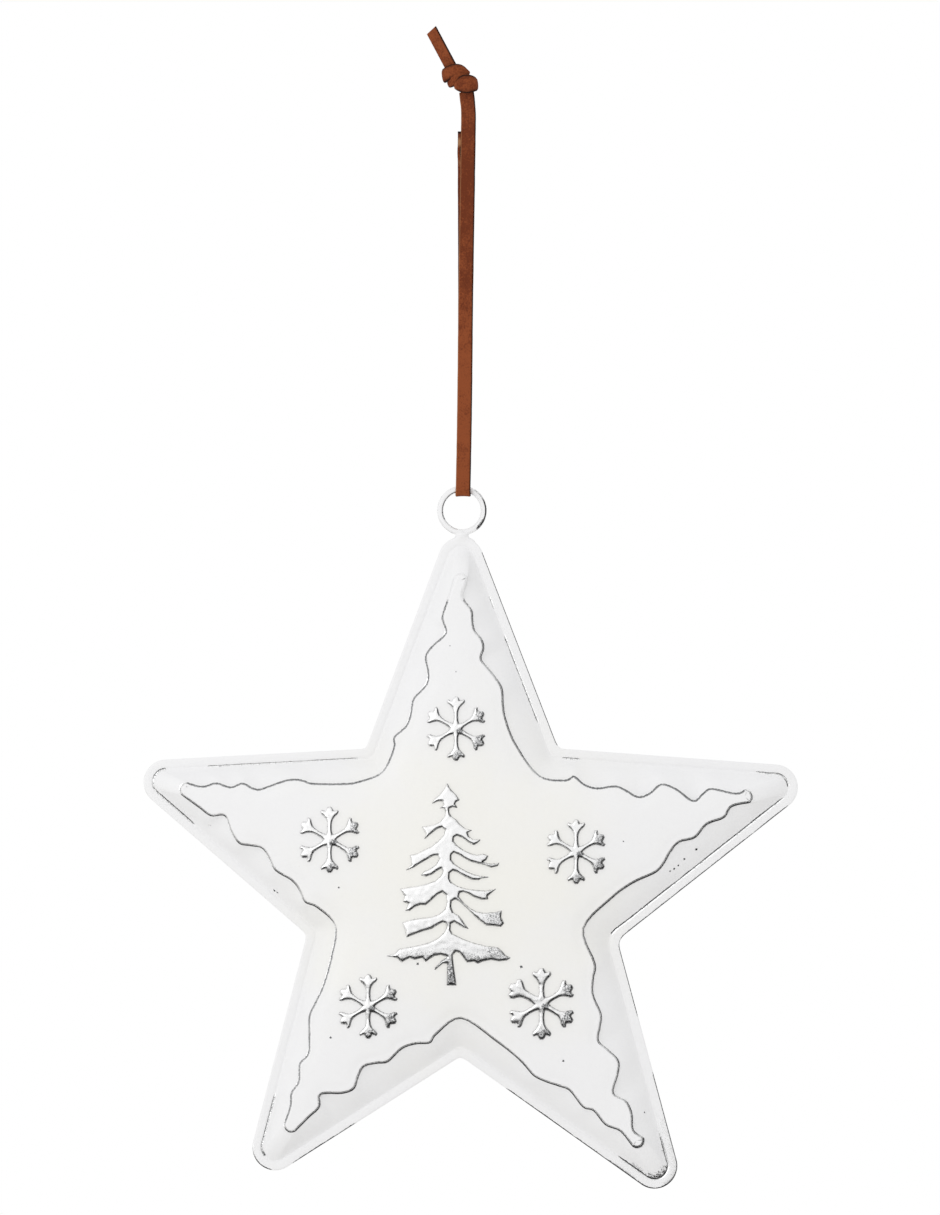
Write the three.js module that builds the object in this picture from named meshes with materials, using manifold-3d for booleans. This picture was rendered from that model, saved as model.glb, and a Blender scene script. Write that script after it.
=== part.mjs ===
// A puffed tinplate star ornament that hangs from a flat leather lace.
// Units are millimetres and +Z is up. The star's face looks along -Y.
// The origin is between the two legs of the lace, at the height where they are held.

import * as THREE from "three";
import { mergeVertices } from "three/addons/utils/BufferGeometryUtils.js";
import Module from "manifold-3d";

const wasm = await Module();
wasm.setup();

// The sheet that both halves of the star are pressed from.
const SHEET = 0.5;

// The star's arms: where each points, how far its tip lies from the star's centre,
// and how far short of the tip the raised middle ends.
const STAR_REACH = 92.5;
const ARMS = [
  { degrees: 90.2, reach: STAR_REACH, shortfall: 9.7 },
  { degrees: 17.1, reach: STAR_REACH + 1.0, shortfall: 12.6 },
  { degrees: -55.7, reach: STAR_REACH + 4.8, shortfall: 12.7 },
  { degrees: -125.3, reach: STAR_REACH - 0.1, shortfall: 11.8 },
  { degrees: -198.9, reach: STAR_REACH - 3.0, shortfall: 10.1 },
];
const TIP_RADIUS = 6.1;
const TIP_TURN = 70;
const TIP_STEPS = 8;

// The notches between the arms, each one just past the arm of the same number.
// The bay is how far the wavy step stays from the notch.
const NOTCH_STRETCH = 1.26;
const NOTCH_REACH = 44.2;
const NOTCHES = [
  { degrees: 54.5, radius: NOTCH_REACH + 0.1, bay: 8.8 },
  { degrees: -20, radius: NOTCH_REACH, bay: 9.6 },
  { degrees: -90.4, radius: NOTCH_REACH + 1.9, bay: 10.3 },
  { degrees: -161.8, radius: NOTCH_REACH - 0.6, bay: 8.0 },
  { degrees: -234.5, radius: NOTCH_REACH, bay: 7.5 },
];

// The pressed relief of each half, measured out from the flat rim's back.
const RIM_WIDTH = 2.6;
const SLOPE_RISE = 4.6;
const STEP_RISE = 1.0;
const STEP_RUN = 0.5;
const SLOPE_SWELL = 0.62;
const CROWN_RISE = 2.4;
const CROWN_SWELL = 0.75;
const RIDGE_END_RISE = 0.5;
const BULB_RADIUS = 1.9;
const INNER_SHIFT = 0.3;

// Shares of an arm's soft ridge: its points, and where the two ends of the arm's edges face it.
const RIDGE_SHARES = { points: [0.38, 0.6, 0.8, 1], atNotch: 0.4, atTip: 1.02 };

// The wavy step along each edge of the rim, from the notch to the tip:
// [share of the edge's length, distance in from the edge].
const RIPPLES = [
  {
    before: [
      [0.05, 6.9], [0.1, 6.0], [0.17, 7.9], [0.23, 7.9], [0.3, 7.2], [0.35, 8.3], [0.4, 9.1],
      [0.45, 8.2], [0.51, 6.3], [0.57, 7.0], [0.65, 9.1], [0.71, 6.8], [0.79, 6.5],
    ],
    after: [
      [0.09, 10.1], [0.22, 10.2], [0.29, 9.4], [0.36, 8.2], [0.42, 8.7], [0.48, 9.8],
      [0.53, 10.5], [0.57, 8.9], [0.61, 8.5], [0.67, 9.4], [0.72, 8.8], [0.76, 8.2], [0.83, 9.0],
    ],
  },
  {
    before: [
      [0.04, 8.2], [0.08, 7.0], [0.13, 9.0], [0.19, 9.7], [0.27, 8.8], [0.32, 9.7], [0.38, 11.2],
      [0.43, 10.0], [0.48, 7.4], [0.55, 8.4], [0.63, 11.2], [0.67, 9.2], [0.71, 7.6], [0.82, 8.4],
    ],
    after: [
      [0.1, 9.9], [0.22, 9.6], [0.33, 8.1], [0.39, 8.7], [0.44, 9.9], [0.5, 10.5], [0.57, 8.9],
      [0.65, 9.7], [0.73, 8.3], [0.79, 9.3],
    ],
  },
  {
    before: [
      [0.07, 7.4], [0.13, 8.8], [0.2, 10.0], [0.29, 9.3], [0.34, 10.3], [0.4, 11.8], [0.45, 10.0],
      [0.51, 8.1], [0.57, 9.3], [0.64, 11.6], [0.69, 8.9], [0.75, 8.3], [0.82, 9.0],
    ],
    after: [
      [0.09, 8.9], [0.2, 8.6], [0.26, 8.0], [0.32, 7.2], [0.38, 7.8], [0.44, 8.9], [0.49, 9.5],
      [0.58, 8.0], [0.63, 8.8], [0.71, 7.6], [0.78, 8.5],
    ],
  },
  {
    before: [
      [0.04, 8.6], [0.09, 7.6], [0.15, 9.4], [0.22, 10.3], [0.31, 9.4], [0.36, 10.6],
      [0.42, 11.7], [0.47, 10.3], [0.52, 8.2], [0.58, 8.8], [0.67, 11.6], [0.71, 9.0],
      [0.78, 8.2],
    ],
    after: [
      [0.06, 7.8], [0.2, 7.7], [0.29, 6.8], [0.36, 6.1], [0.43, 7.0], [0.53, 8.3], [0.59, 6.8],
      [0.67, 7.7], [0.73, 6.6], [0.79, 7.2],
    ],
  },
  {
    before: [
      [0.05, 7.4], [0.11, 6.4], [0.17, 7.8], [0.23, 8.4], [0.32, 7.6], [0.38, 8.9], [0.44, 9.7],
      [0.49, 8.2], [0.54, 6.7], [0.61, 7.8], [0.68, 9.7], [0.73, 7.3], [0.8, 6.9],
    ],
    after: [
      [0.04, 8.5], [0.11, 8.9], [0.27, 8.4], [0.32, 7.4], [0.38, 7.0], [0.45, 7.8], [0.53, 9.1],
      [0.57, 8.8], [0.62, 7.3], [0.68, 8.2], [0.75, 6.9], [0.82, 7.6],
    ],
  },
];

// The motifs raised on the face. The snowflakes' places are [x, z] from the star's centre, and the
// fir tree's outline is drawn on a fine square grid from the foot of its trunk.
const MOTIF_RISE = 0.7;
const MOTIF_ROOT = 0.3;
const SNOWFLAKES = [
  { name: "top", at: [-1.6, 41.4], radius: 8.3 },
  { name: "right", at: [30.4, 8.6], radius: 8.3 },
  { name: "low_right", at: [21.2, -31.9], radius: 9.1 },
  { name: "low_left", at: [-25.0, -32.6], radius: 8.3 },
  { name: "left", at: [-35.3, 11.8], radius: 8.5 },
];
const FLAKE_ARMS = 6;
const FLAKE_ARM_WIDTH = 1.0;
const FLAKE_HUB_RADIUS = 1.4;
const FLAKE_PRONG_SPREAD = 4.3;
const FLAKE_SHARES = { fork: 0.6, flare: 0.75, prong: 0.86, valley: 0.89 };
const TREE_GRID = 0.267;
const TREE_FOOT = [-3.0, -27.1];
const FIR_TREE = [
  [-4.7, 200], [-7, 196], [-11.5, 190.5], [-17, 186], [-18.7, 181.7], [-13, 184.2], [-8.5, 184.2],
  [-7, 181], [-11, 177.2], [-7.5, 177.5], [-5.2, 174], [-6, 169.5], [-10, 164.3], [-16, 161.3],
  [-23, 159.7], [-28.7, 158.7], [-25, 151.5], [-26.5, 146.2], [-20, 151.5], [-13.5, 156.7],
  [-9, 158.2], [-5.7, 155.5], [-7, 151], [-12, 145.5], [-19, 139.5], [-27, 135.5], [-34, 132],
  [-40.7, 130.5], [-39.7, 126], [-39, 121], [-45.5, 115], [-37.5, 118], [-31, 122], [-23, 126.7],
  [-17, 130.2], [-13.2, 130.2], [-11.7, 126.5], [-14.5, 121.5], [-20, 117.5], [-27, 114.2],
  [-30, 110.5], [-24.5, 109.2], [-18.5, 111.3], [-14, 114.7], [-9.7, 117.2], [-8, 114], [-10, 110],
  [-15.5, 105.2], [-24, 102], [-34, 99.8], [-44, 98.2], [-50.7, 96.7], [-46.2, 89.5], [-47.7, 84.2],
  [-42.5, 82], [-45.5, 75], [-41, 75], [-35.5, 79], [-30, 81], [-25, 80.7], [-19, 85.7], [-13.5, 91],
  [-8.5, 93.5], [-5.2, 90.5], [-4, 84], [-5.5, 77], [-11, 72], [-19, 69], [-30, 67.7], [-40, 66.2],
  [-48.5, 63.2], [-45.5, 55], [-44, 48.5], [-35, 52], [-26, 55.2], [-19, 57], [-13, 61], [-8, 63.7],
  [-5.5, 62.7], [-4, 59], [-6.5, 53.5], [-13, 47.7], [-22, 43.2], [-32, 40.7], [-42, 38.7],
  [-51, 37.2], [-56, 32.5], [-64, 30], [-54, 28], [-49, 23.7], [-41, 28], [-36, 26.2], [-28.5, 28],
  [-25, 24], [-21, 27], [-16, 30], [-10, 31], [-4, 29.2], [-6, 27.5], [-10, 24.5], [-15.5, 18.5],
  [-16, 15.7], [-11.5, 19.5], [-7.5, 22.7], [-3.7, 22], [-3.7, 12], [-4, 0.5], [5.8, 0.5], [4, 13],
  [2.7, 23], [2, 30.5], [5, 34], [8.5, 33], [12.5, 28], [16, 23.5], [23, 24.3], [27, 22.2], [32, 24.5],
  [40, 26], [48, 24.7], [56, 25.5], [59.8, 28], [55, 30.5], [51.5, 34.5], [47, 38.5], [34, 40.2],
  [24, 42.7], [15, 45.7], [8, 49], [2, 52], [-0.2, 56], [0.3, 62], [3.5, 63.7], [7.5, 61.2],
  [12, 58.5], [17.8, 57], [14, 62], [11.5, 66], [8, 70.2], [2.5, 73.5], [0.5, 79], [1, 84.5],
  [4.5, 86.5], [9, 84], [16, 77.5], [23, 70.2], [29, 65], [35, 60.5], [42, 60], [50, 59], [53.3, 62.5],
  [50.3, 69], [51, 75.5], [43, 73.7], [32, 73], [25, 74.5], [19.5, 77.5], [13, 83], [8.2, 89],
  [9, 92.7], [12.5, 94], [17, 92.2], [23, 88.5], [31, 86], [37.5, 86.5], [37, 89.5], [39.5, 92],
  [45.5, 97], [34, 95], [23, 96], [14, 97.3], [7, 99.5], [1, 103.3], [-1.3, 107], [-1, 112.5],
  [2, 115], [6.5, 113.5], [13, 109.5], [21, 106], [28, 105.7], [31, 107.5], [40, 108.7], [30.5, 109.7],
  [24, 111], [17, 113.7], [10, 117.5], [3.5, 122], [0.7, 126], [0.7, 131], [3, 133], [7, 131.5],
  [13, 127.7], [20, 124], [27, 122.2], [33.5, 121], [40, 118], [47, 119.7], [48.5, 123], [40, 122],
  [32, 123.5], [35.5, 125.5], [37.5, 130], [32, 131.8], [26, 130.7], [20, 132.2], [13, 135.5],
  [6.5, 140], [3, 144.5], [3.2, 148], [6, 150], [11, 148], [18, 143], [23, 140.5], [26.5, 142.5],
  [30, 146], [22, 146.5], [18.5, 149], [17, 153], [21.5, 155.5], [14.5, 157], [9, 161.5], [6, 165.5],
  [1, 169], [-1.5, 173], [-1.5, 177], [2, 178.5], [7, 177.5], [4.5, 181.5], [5.5, 183.5], [9, 185.5],
  [5.5, 190.5], [1, 195], [-1.5, 198.5], [-3.5, 202.5],
];

// The wire ring, and the solder that joins it to the tip of the top arm.
const WIRE = 1.6;
const RING_RADIUS = 5.8;
const WIRE_FACETS = 10;
const RING_FACETS = 36;
const RING_TO_TIP = 0.5;
const SOLDER_WIDTH = 4.6;
const SOLDER_HEIGHT = 3.6;
const SOLDER_DEPTH = 3.2;
const SOLDER_GAP = 0.1;

// The leather lace.
const LACE_WIDTH = 4.1;
const LACE_THICKNESS = 0.8;
const HOLD_TO_WIRE = 90.45;
const WIRE_CLEARANCE = 0.1;
const SPLIT_GAP = 0.3;
const BIGHT_OFFSET = 0.3;
const BIGHT_STEPS = 5;
const SLIT_LENGTH = 5.4;
const SLIT_WIDTH = 1.3;

// The route of each leg of the lace from the ring up, chosen by hand: [x, y, z].
const KNOT_LEG_ROUTE = [
  [0.4, -1.7, -86.0], [0.6, -1.3, -75.0], [0.8, -1.0, -60.0], [1.0, -0.75, -40.0],
  [1.4, -0.65, -15.0], [1.6, -0.65, -2.0], [1.7, -0.65, 5.0], [1.7, -0.6, 10.5], [1.2, -0.5, 14.3],
];
const SLIT_LEG_ROUTE = [
  [0.4, 1.7, -86.0], [0.6, 1.3, -75.0], [0.8, 1.0, -60.0], [0.95, 0.75, -40.0],
  [0.9, 0.65, -20.0], [0.85, 0.65, -8.0], [0.85, 0.65, 5.0],
];

// The knot: the tail that leaves it, and the turns that the lace makes, each about its own centre.
const TAIL_ROOT = [-1.4, -0.3, 19.3];
const TAIL_LEAN = 28;
const TAIL_WIDTH = 3.5;
const TAIL_LENGTH = 14.4;
const TAIL_CUT_DEGREES = 13;
const TAIL_TWIST = 0.3;
const KNOT_TURNS = [
  { at: [-1.5, 0, 20.4], lean: 28, halfWidth: 2.8, halfDepth: 1.3, width: 3.6 },
  { at: [-0.5, 0, 18.6], lean: 38, halfWidth: 3.0, halfDepth: 1.7, width: 2.9 },
  { at: [1.6, 0, 17.1], lean: -5, halfWidth: 2.1, halfDepth: 2.1, width: 4.0 },
];
const TURN_STEPS = 14;

// Corners closer together than this are one corner.
const MERGE_DISTANCE = 1e-4;

// Sizes that follow from the ones above.
const WIRE_RADIUS = WIRE / 2;
const RING_CENTRE_Z = -HOLD_TO_WIRE - RING_RADIUS;
const STAR_CENTRE_Z = RING_CENTRE_Z - RING_RADIUS - WIRE_RADIUS - RING_TO_TIP - ARMS[0].reach;
const WIRE_SAG = RING_RADIUS - Math.sqrt(RING_RADIUS ** 2 - (LACE_WIDTH / 2) ** 2);
const BIGHT_RADIUS = WIRE_SAG + WIRE_RADIUS + WIRE_CLEARANCE + LACE_THICKNESS / 2;

const radians = (degrees) => THREE.MathUtils.degToRad(degrees);
const polar = (degrees, radius) =>
  new THREE.Vector2(Math.cos(radians(degrees)), Math.sin(radians(degrees))).multiplyScalar(radius);

// A closed geometry through a row of rings with the same number of points.
// An end that doesn't close on itself is capped by a fan round its middle.
function loft(rings, capped) {
  const middle = (ring) => {
    const sum = ring.reduce((total, p) => total.add(p), new THREE.Vector3());
    return ring.map(() => sum.clone().divideScalar(ring.length));
  };
  const closed = capped ? [middle(rings[0]), ...rings, middle(rings.at(-1))] : rings;
  const n = rings[0].length;
  const faces = [];
  for (let k = 0; k + 1 < closed.length; k += 1) {
    for (let i = 0; i < n; i += 1) {
      const here = k * n + i;
      const next = k * n + ((i + 1) % n);
      faces.push(here, next + n, here + n, here, next, next + n);
    }
  }
  const geometry = new THREE.BufferGeometry().setFromPoints(closed.flat()).setIndex(faces);
  return withoutSlivers(mergeVertices(geometry, MERGE_DISTANCE));
}

// The same geometry without the faces that have two corners in one place.
function withoutSlivers(geometry) {
  const corners = geometry.index.array;
  const kept = [];
  for (let i = 0; i < corners.length; i += 3) {
    const [a, b, c] = corners.slice(i, i + 3);
    if (a !== b && b !== c && c !== a) kept.push(a, b, c);
  }
  return geometry.setIndex(kept);
}

// A solid for joining and cutting, from a closed geometry with merged corners.
function solid(geometry) {
  const bare = geometry.clone();
  bare.deleteAttribute("normal");
  bare.deleteAttribute("uv");
  const merged = mergeVertices(bare, MERGE_DISTANCE);
  return new wasm.Manifold(
    new wasm.Mesh({
      numProp: 3,
      vertProperties: merged.attributes.position.array,
      triVerts: merged.index.array,
    }),
  );
}

// A geometry from a solid.
function geometryOf(body) {
  const mesh = body.getMesh();
  const geometry = new THREE.BufferGeometry()
    .setAttribute("position", new THREE.BufferAttribute(mesh.vertProperties, 3))
    .setIndex(new THREE.BufferAttribute(mesh.triVerts, 1));
  geometry.computeVertexNormals();
  return geometry;
}

// The straight edge of the rim from a notch to an arm's tip, as its start, its direction,
// its length to the point where the tip's round begins, and the direction in from the edge.
function rimEdge(notch, arm, side) {
  const start = polar(notch.degrees, notch.radius);
  const tip = polar(arm.degrees, arm.reach - TIP_RADIUS);
  const toTip = tip.clone().sub(start);
  const turn = side * Math.asin(TIP_RADIUS / toTip.length());
  const along = toTip.clone().normalize().rotateAround(new THREE.Vector2(), turn);
  const inward = new THREE.Vector2(side * -along.y, side * along.x).negate();
  return { start, along, inward, length: Math.sqrt(toTip.lengthSq() - TIP_RADIUS ** 2) };
}

const pointOn = (edge, share, inset) =>
  edge.start
    .clone()
    .addScaledVector(edge.along, share * edge.length)
    .addScaledVector(edge.inward, inset);

// A closed line round the star with one point for each ripple, a few round each tip
// and one in each notch.
function starLine({ onEdge, onTip, onNotch }) {
  const line = [];
  ARMS.forEach((arm, k) => {
    const edgeBefore = rimEdge(NOTCHES.at(k - 1), arm, 1);
    const edgeAfter = rimEdge(NOTCHES[k], arm, -1);
    RIPPLES[k].before.forEach(([share, wave]) => line.push(onEdge(edgeBefore, share, wave, arm)));
    for (let i = 0; i < TIP_STEPS; i += 1) {
      line.push(onTip(arm, THREE.MathUtils.lerp(1, -1, i / (TIP_STEPS - 1))));
    }
    [...RIPPLES[k].after]
      .reverse()
      .forEach(([share, wave]) => line.push(onEdge(edgeAfter, share, wave, arm)));
    line.push(onNotch(NOTCHES[k]));
  });
  return line;
}

// A line that keeps one distance from the rim's edge.
function parallelLine(distance) {
  return starLine({
    onEdge: (edge, share) => pointOn(edge, share, distance),
    onTip: (arm, turn) =>
      polar(arm.degrees, arm.reach - TIP_RADIUS).add(
        polar(arm.degrees + TIP_TURN * turn, TIP_RADIUS - distance),
      ),
    onNotch: (notch) => polar(notch.degrees, notch.radius - distance * NOTCH_STRETCH),
  });
}

const ridgeEnd = (arm) => arm.reach - arm.shortfall - BULB_RADIUS;

// The wavy line, or one that runs further in than it.
function wavyLine(further) {
  return starLine({
    onEdge: (edge, share, wave) => pointOn(edge, share, wave + further),
    onTip: (arm, turn) =>
      polar(arm.degrees, ridgeEnd(arm)).add(
        polar(arm.degrees + TIP_TURN * turn, BULB_RADIUS - further),
      ),
    onNotch: (notch) => polar(notch.degrees, notch.radius - notch.bay - further),
  });
}

// The line of the soft ridge, out along the middle of each arm and back, for one half's face.
function ridgeLine(side, height) {
  const ridgePoint = (arm, share) => {
    const p = polar(arm.degrees, share * ridgeEnd(arm));
    const rise = THREE.MathUtils.lerp(CROWN_RISE, RIDGE_END_RISE, share);
    return new THREE.Vector3(p.x, side * (height + rise), p.y);
  };
  const facing = (arm, edgeShare) => {
    const along = THREE.MathUtils.lerp(RIDGE_SHARES.atNotch, RIDGE_SHARES.atTip, edgeShare);
    const away = (share) => Math.abs(share - along);
    return ridgePoint(arm, RIDGE_SHARES.points.reduce((a, b) => (away(b) < away(a) ? b : a)));
  };
  return starLine({
    onEdge: (edge, share, wave, arm) => facing(arm, share),
    onTip: (arm) => ridgePoint(arm, 1),
    onNotch: () => ridgePoint(ARMS[0], 0),
  });
}

// One half of the star: side is -1 for the half whose face looks along -Y, and 1 for the other.
function starHalf(side) {
  const lift = (line, height) => line.map((p) => new THREE.Vector3(p.x, side * height, p.y));
  const midway = (a, b) => a.map((p, i) => p.clone().lerp(b[i], 0.5));
  const relief = (back, shift) => {
    const crease = lift(parallelLine(RIM_WIDTH), back);
    const foot = lift(wavyLine(shift), back + SLOPE_RISE);
    const slope = midway(crease, foot);
    slope.forEach((p) => p.setY(side * (back + SLOPE_RISE * SLOPE_SWELL)));
    const stepTop = back + SLOPE_RISE + STEP_RISE;
    const top = lift(wavyLine(STEP_RUN + shift), stepTop);
    const ridge = ridgeLine(side, stepTop);
    const crown = midway(top, ridge);
    crown.forEach((p, i) => p.setY(THREE.MathUtils.lerp(top[i].y, ridge[i].y, CROWN_SWELL)));
    return [ridge, crown, top, foot, slope, crease];
  };
  const rim = parallelLine(0);
  const face = relief(SHEET, 0);
  const inside = relief(0, INNER_SHIFT).reverse();
  const geometry = loft([...face, lift(rim, SHEET), lift(rim, 0), ...inside], false);
  if (side > 0) geometry.setIndex([...geometry.index.array].reverse());
  return geometry;
}

// The outline of a snowflake: six arms that each end in three prongs.
function snowflakeShape(radius) {
  const half = FLAKE_ARM_WIDTH / 2;
  const spread = FLAKE_PRONG_SPREAD / 2;
  const { fork, flare, prong, valley } = FLAKE_SHARES;
  const arm = [
    [FLAKE_HUB_RADIUS, -half],
    [radius * fork, -half],
    [radius * flare, -spread / 2],
    [radius * prong, -spread],
    [radius * valley, -half],
    [radius, 0],
    [radius * valley, half],
    [radius * prong, spread],
    [radius * flare, spread / 2],
    [radius * fork, half],
  ];
  const upward = 90;
  const points = [];
  for (let k = 0; k < FLAKE_ARMS; k += 1) {
    const turn = radians(upward + (360 / FLAKE_ARMS) * k);
    arm.forEach(([u, v]) =>
      points.push(new THREE.Vector2(u, v).rotateAround(new THREE.Vector2(), turn)),
    );
  }
  return points;
}

// A motif as a closed body that follows the face it is raised from.
function raisedMotif(outline, face) {
  const ray = new THREE.Raycaster();
  const crownAt = (p) => {
    ray.set(new THREE.Vector3(p.x, -ARMS[0].reach, p.y), new THREE.Vector3(0, 1, 0));
    return ray.intersectObject(face)[0].point.y;
  };
  const heights = outline.map(crownAt);
  const lifted = (rise) => outline.map((p, i) => new THREE.Vector3(p.x, heights[i] - rise, p.y));
  const points = [...lifted(MOTIF_RISE), ...lifted(-MOTIF_ROOT)];
  const n = outline.length;
  const faces = [];
  THREE.ShapeUtils.triangulateShape(outline, []).forEach(([a, b, c]) => {
    faces.push(a, b, c, a + n, c + n, b + n);
  });
  for (let i = 0; i < n; i += 1) {
    const j = (i + 1) % n;
    faces.push(i, i + n, j, j, i + n, j + n);
  }
  return new THREE.BufferGeometry().setFromPoints(points).setIndex(faces);
}

// The half with the decorated face.
function frontShell() {
  const plain = starHalf(-1);
  const face = new THREE.Mesh(plain, new THREE.MeshStandardMaterial({ side: THREE.DoubleSide }));
  const outlines = SNOWFLAKES.map(({ at, radius }) =>
    snowflakeShape(radius).map((p) => p.add(new THREE.Vector2(...at))),
  );
  const foot = new THREE.Vector2(...TREE_FOOT);
  const treePoint = (p) => new THREE.Vector2(...p).multiplyScalar(TREE_GRID).add(foot);
  outlines.push(FIR_TREE.map(treePoint));
  return geometryOf(
    outlines.reduce((body, outline) => body.add(solid(raisedMotif(outline, face))), solid(plain)),
  );
}

// A ring of wire in the XZ plane about its own centre.
function wireRing(thickness) {
  const ring = new THREE.TorusGeometry(RING_RADIUS, thickness / 2, WIRE_FACETS, RING_FACETS);
  return ring.rotateX(Math.PI / 2);
}

// The solder: a rounded lump, hollowed where the wire and the star's tip lie in it.
function solderLump() {
  const tipGap = RING_TO_TIP / 2 + RING_RADIUS + WIRE_RADIUS;
  const lump = new THREE.SphereGeometry(0.5, 18, 12)
    .scale(SOLDER_WIDTH, SOLDER_DEPTH, SOLDER_HEIGHT)
    .translate(0, 0, -tipGap);
  const wire = wireRing(WIRE + 2 * SOLDER_GAP);
  const hollow = TIP_RADIUS + SOLDER_GAP;
  const rims = 2 * (SHEET + SOLDER_GAP);
  const tip = new THREE.CylinderGeometry(hollow, hollow, rims, 2 * RING_FACETS).translate(
    0,
    0,
    -(tipGap + RING_TO_TIP / 2 + TIP_RADIUS),
  );
  return geometryOf(solid(lump).subtract(solid(wire)).subtract(solid(tip)));
}

// A flat strip of leather along a route. The strip's width lies along across[i] at each point.
function strip(route, across, width = LACE_WIDTH) {
  const bevel = LACE_THICKNESS / 4;
  const w = width / 2;
  const t = LACE_THICKNESS / 2;
  const section = [
    [w, -t + bevel], [w, t - bevel], [w - bevel, t], [-w + bevel, t],
    [-w, t - bevel], [-w, -t + bevel], [-w + bevel, -t], [w - bevel, -t],
  ];
  const rings = route.map((p, i) => {
    const along = route[Math.min(i + 1, route.length - 1)]
      .clone()
      .sub(route[Math.max(i - 1, 0)])
      .normalize();
    const side = across[i].clone().addScaledVector(along, -across[i].dot(along)).normalize();
    const face = new THREE.Vector3().crossVectors(along, side);
    return section.map(([u, v]) => p.clone().addScaledVector(side, u).addScaledVector(face, v));
  });
  return loft(rings, true);
}

// Half of the bight that carries the ring: side is -1 in front of the wire, and 1 behind it.
function halfBight(side) {
  const points = [];
  for (let i = 0; i < BIGHT_STEPS; i += 1) {
    const turn = radians((90 * i) / BIGHT_STEPS);
    const y = BIGHT_RADIUS * Math.sin(turn) + (i === 0 ? SPLIT_GAP / 2 : 0);
    const z = -HOLD_TO_WIRE - BIGHT_RADIUS * Math.cos(turn);
    points.push(new THREE.Vector3(BIGHT_OFFSET, side * y, z));
  }
  return points;
}

// One leg of the lace, from the lowest point of the bight up.
function leg(side, freeRoute) {
  const route = [...halfBight(side), ...freeRoute.map((p) => new THREE.Vector3(...p))];
  const across = route.map(() => new THREE.Vector3(1, 0, 0));
  return strip(route, across);
}

// The buttonhole: a leaf-shaped slit through the rear leg, near its end.
function slitLeg() {
  const [x, y, z] = SLIT_LEG_ROUTE.at(-1);
  const leaf = new THREE.CylinderGeometry(1, 1, 4 * LACE_THICKNESS, 12)
    .scale(SLIT_WIDTH / 2, 1, SLIT_LENGTH / 2)
    .translate(x, y, z - SLIT_LENGTH / 2 - LACE_WIDTH / 2);
  return geometryOf(solid(leg(1, SLIT_LEG_ROUTE)).subtract(solid(leaf)));
}

// One turn of the lace in the knot: a flat band wound tight on itself.
function knotTurn({ at, lean, halfWidth, halfDepth, width }) {
  const outline = Array.from({ length: TURN_STEPS }, (_, i) => {
    const turn = (2 * Math.PI * i) / TURN_STEPS;
    const reach = new THREE.Vector2(Math.cos(turn), Math.sin(turn));
    return reach.clone().multiply(new THREE.Vector2(halfWidth, halfDepth))
      .addScaledVector(reach, LACE_THICKNESS);
  });
  const bevel = LACE_THICKNESS / 3;
  return new THREE.ExtrudeGeometry(new THREE.Shape(outline), {
    depth: width - 2 * bevel,
    bevelSize: bevel,
    bevelThickness: bevel,
    bevelOffset: -bevel,
    bevelSegments: 1,
  })
    .translate(0, 0, bevel - width / 2)
    .rotateY(radians(-lean))
    .translate(...at);
}

// The knot with the tail that stands out of it, cut off at a slant.
function knotAndTail() {
  const across = new THREE.Vector3(1, TAIL_TWIST, 0);
  const route = [new THREE.Vector3(), new THREE.Vector3(0, 0, TAIL_LENGTH + TAIL_WIDTH)];
  const tail = strip(route, [across, across], TAIL_WIDTH);
  const offcut = new THREE.BoxGeometry(TAIL_LENGTH, TAIL_LENGTH, TAIL_LENGTH)
    .translate(0, 0, TAIL_LENGTH / 2)
    .rotateY(radians(-TAIL_CUT_DEGREES))
    .translate(0, 0, TAIL_LENGTH);
  const placed = (geometry) =>
    solid(geometry.rotateY(radians(-TAIL_LEAN)).translate(...TAIL_ROOT));
  const cutTail = placed(tail).subtract(placed(offcut));
  return geometryOf(KNOT_TURNS.reduce((body, turn) => body.add(solid(knotTurn(turn))), cutTail));
}

const paint = () =>
  new THREE.MeshStandardMaterial({ color: 0xe9e8e4, roughness: 0.62, metalness: 0 });
const leather = () =>
  new THREE.MeshStandardMaterial({ color: 0x7a4126, roughness: 0.85, metalness: 0 });

function named(name, geometry, material) {
  const mesh = new THREE.Mesh(geometry, material);
  mesh.name = name;
  return mesh;
}

const star = new THREE.Group();
star.position.z = STAR_CENTRE_Z;
star.add(named("front_shell", frontShell(), paint()));
star.add(named("back_shell", starHalf(1), paint()));

const hanger = new THREE.Group();
hanger.position.z = RING_CENTRE_Z;
hanger.add(named("hanging_ring", wireRing(WIRE), paint()));
hanger.add(named("ring_solder", solderLump(), paint()));

const lace = new THREE.Group();
lace.add(named("lace_knot_leg", leg(-1, KNOT_LEG_ROUTE), leather()));
lace.add(named("lace_slit_leg", slitLeg(), leather()));
lace.add(named("lace_knot", knotAndTail(), leather()));

const ornament = new THREE.Group();
ornament.add(star, hanger, lace);

export default ornament;
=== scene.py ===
"""A puffed tinplate star ornament on a leather lace, as its photograph shows it.

Both halves of the star are pressed from whitewashed tin, worn bare along the wavy step and the
rim; the rim's right and lower edges also get painted shade as dull tin. The fir tree and the
snowflakes are bare tin, with painted shade round their edges and on their right and lower sides.
Lengths are millimetres in the size classes and metres in the meshes. The star's face looks along
-Y and the ornament hangs along Z.
"""

import logging
import math
from collections.abc import Callable, Sequence
from dataclasses import dataclass
from enum import Enum
from functools import cached_property

import bmesh
import bpy
import numpy as np
from mathutils import Matrix, Vector, noise
from mathutils.bvhtree import BVHTree


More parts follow.
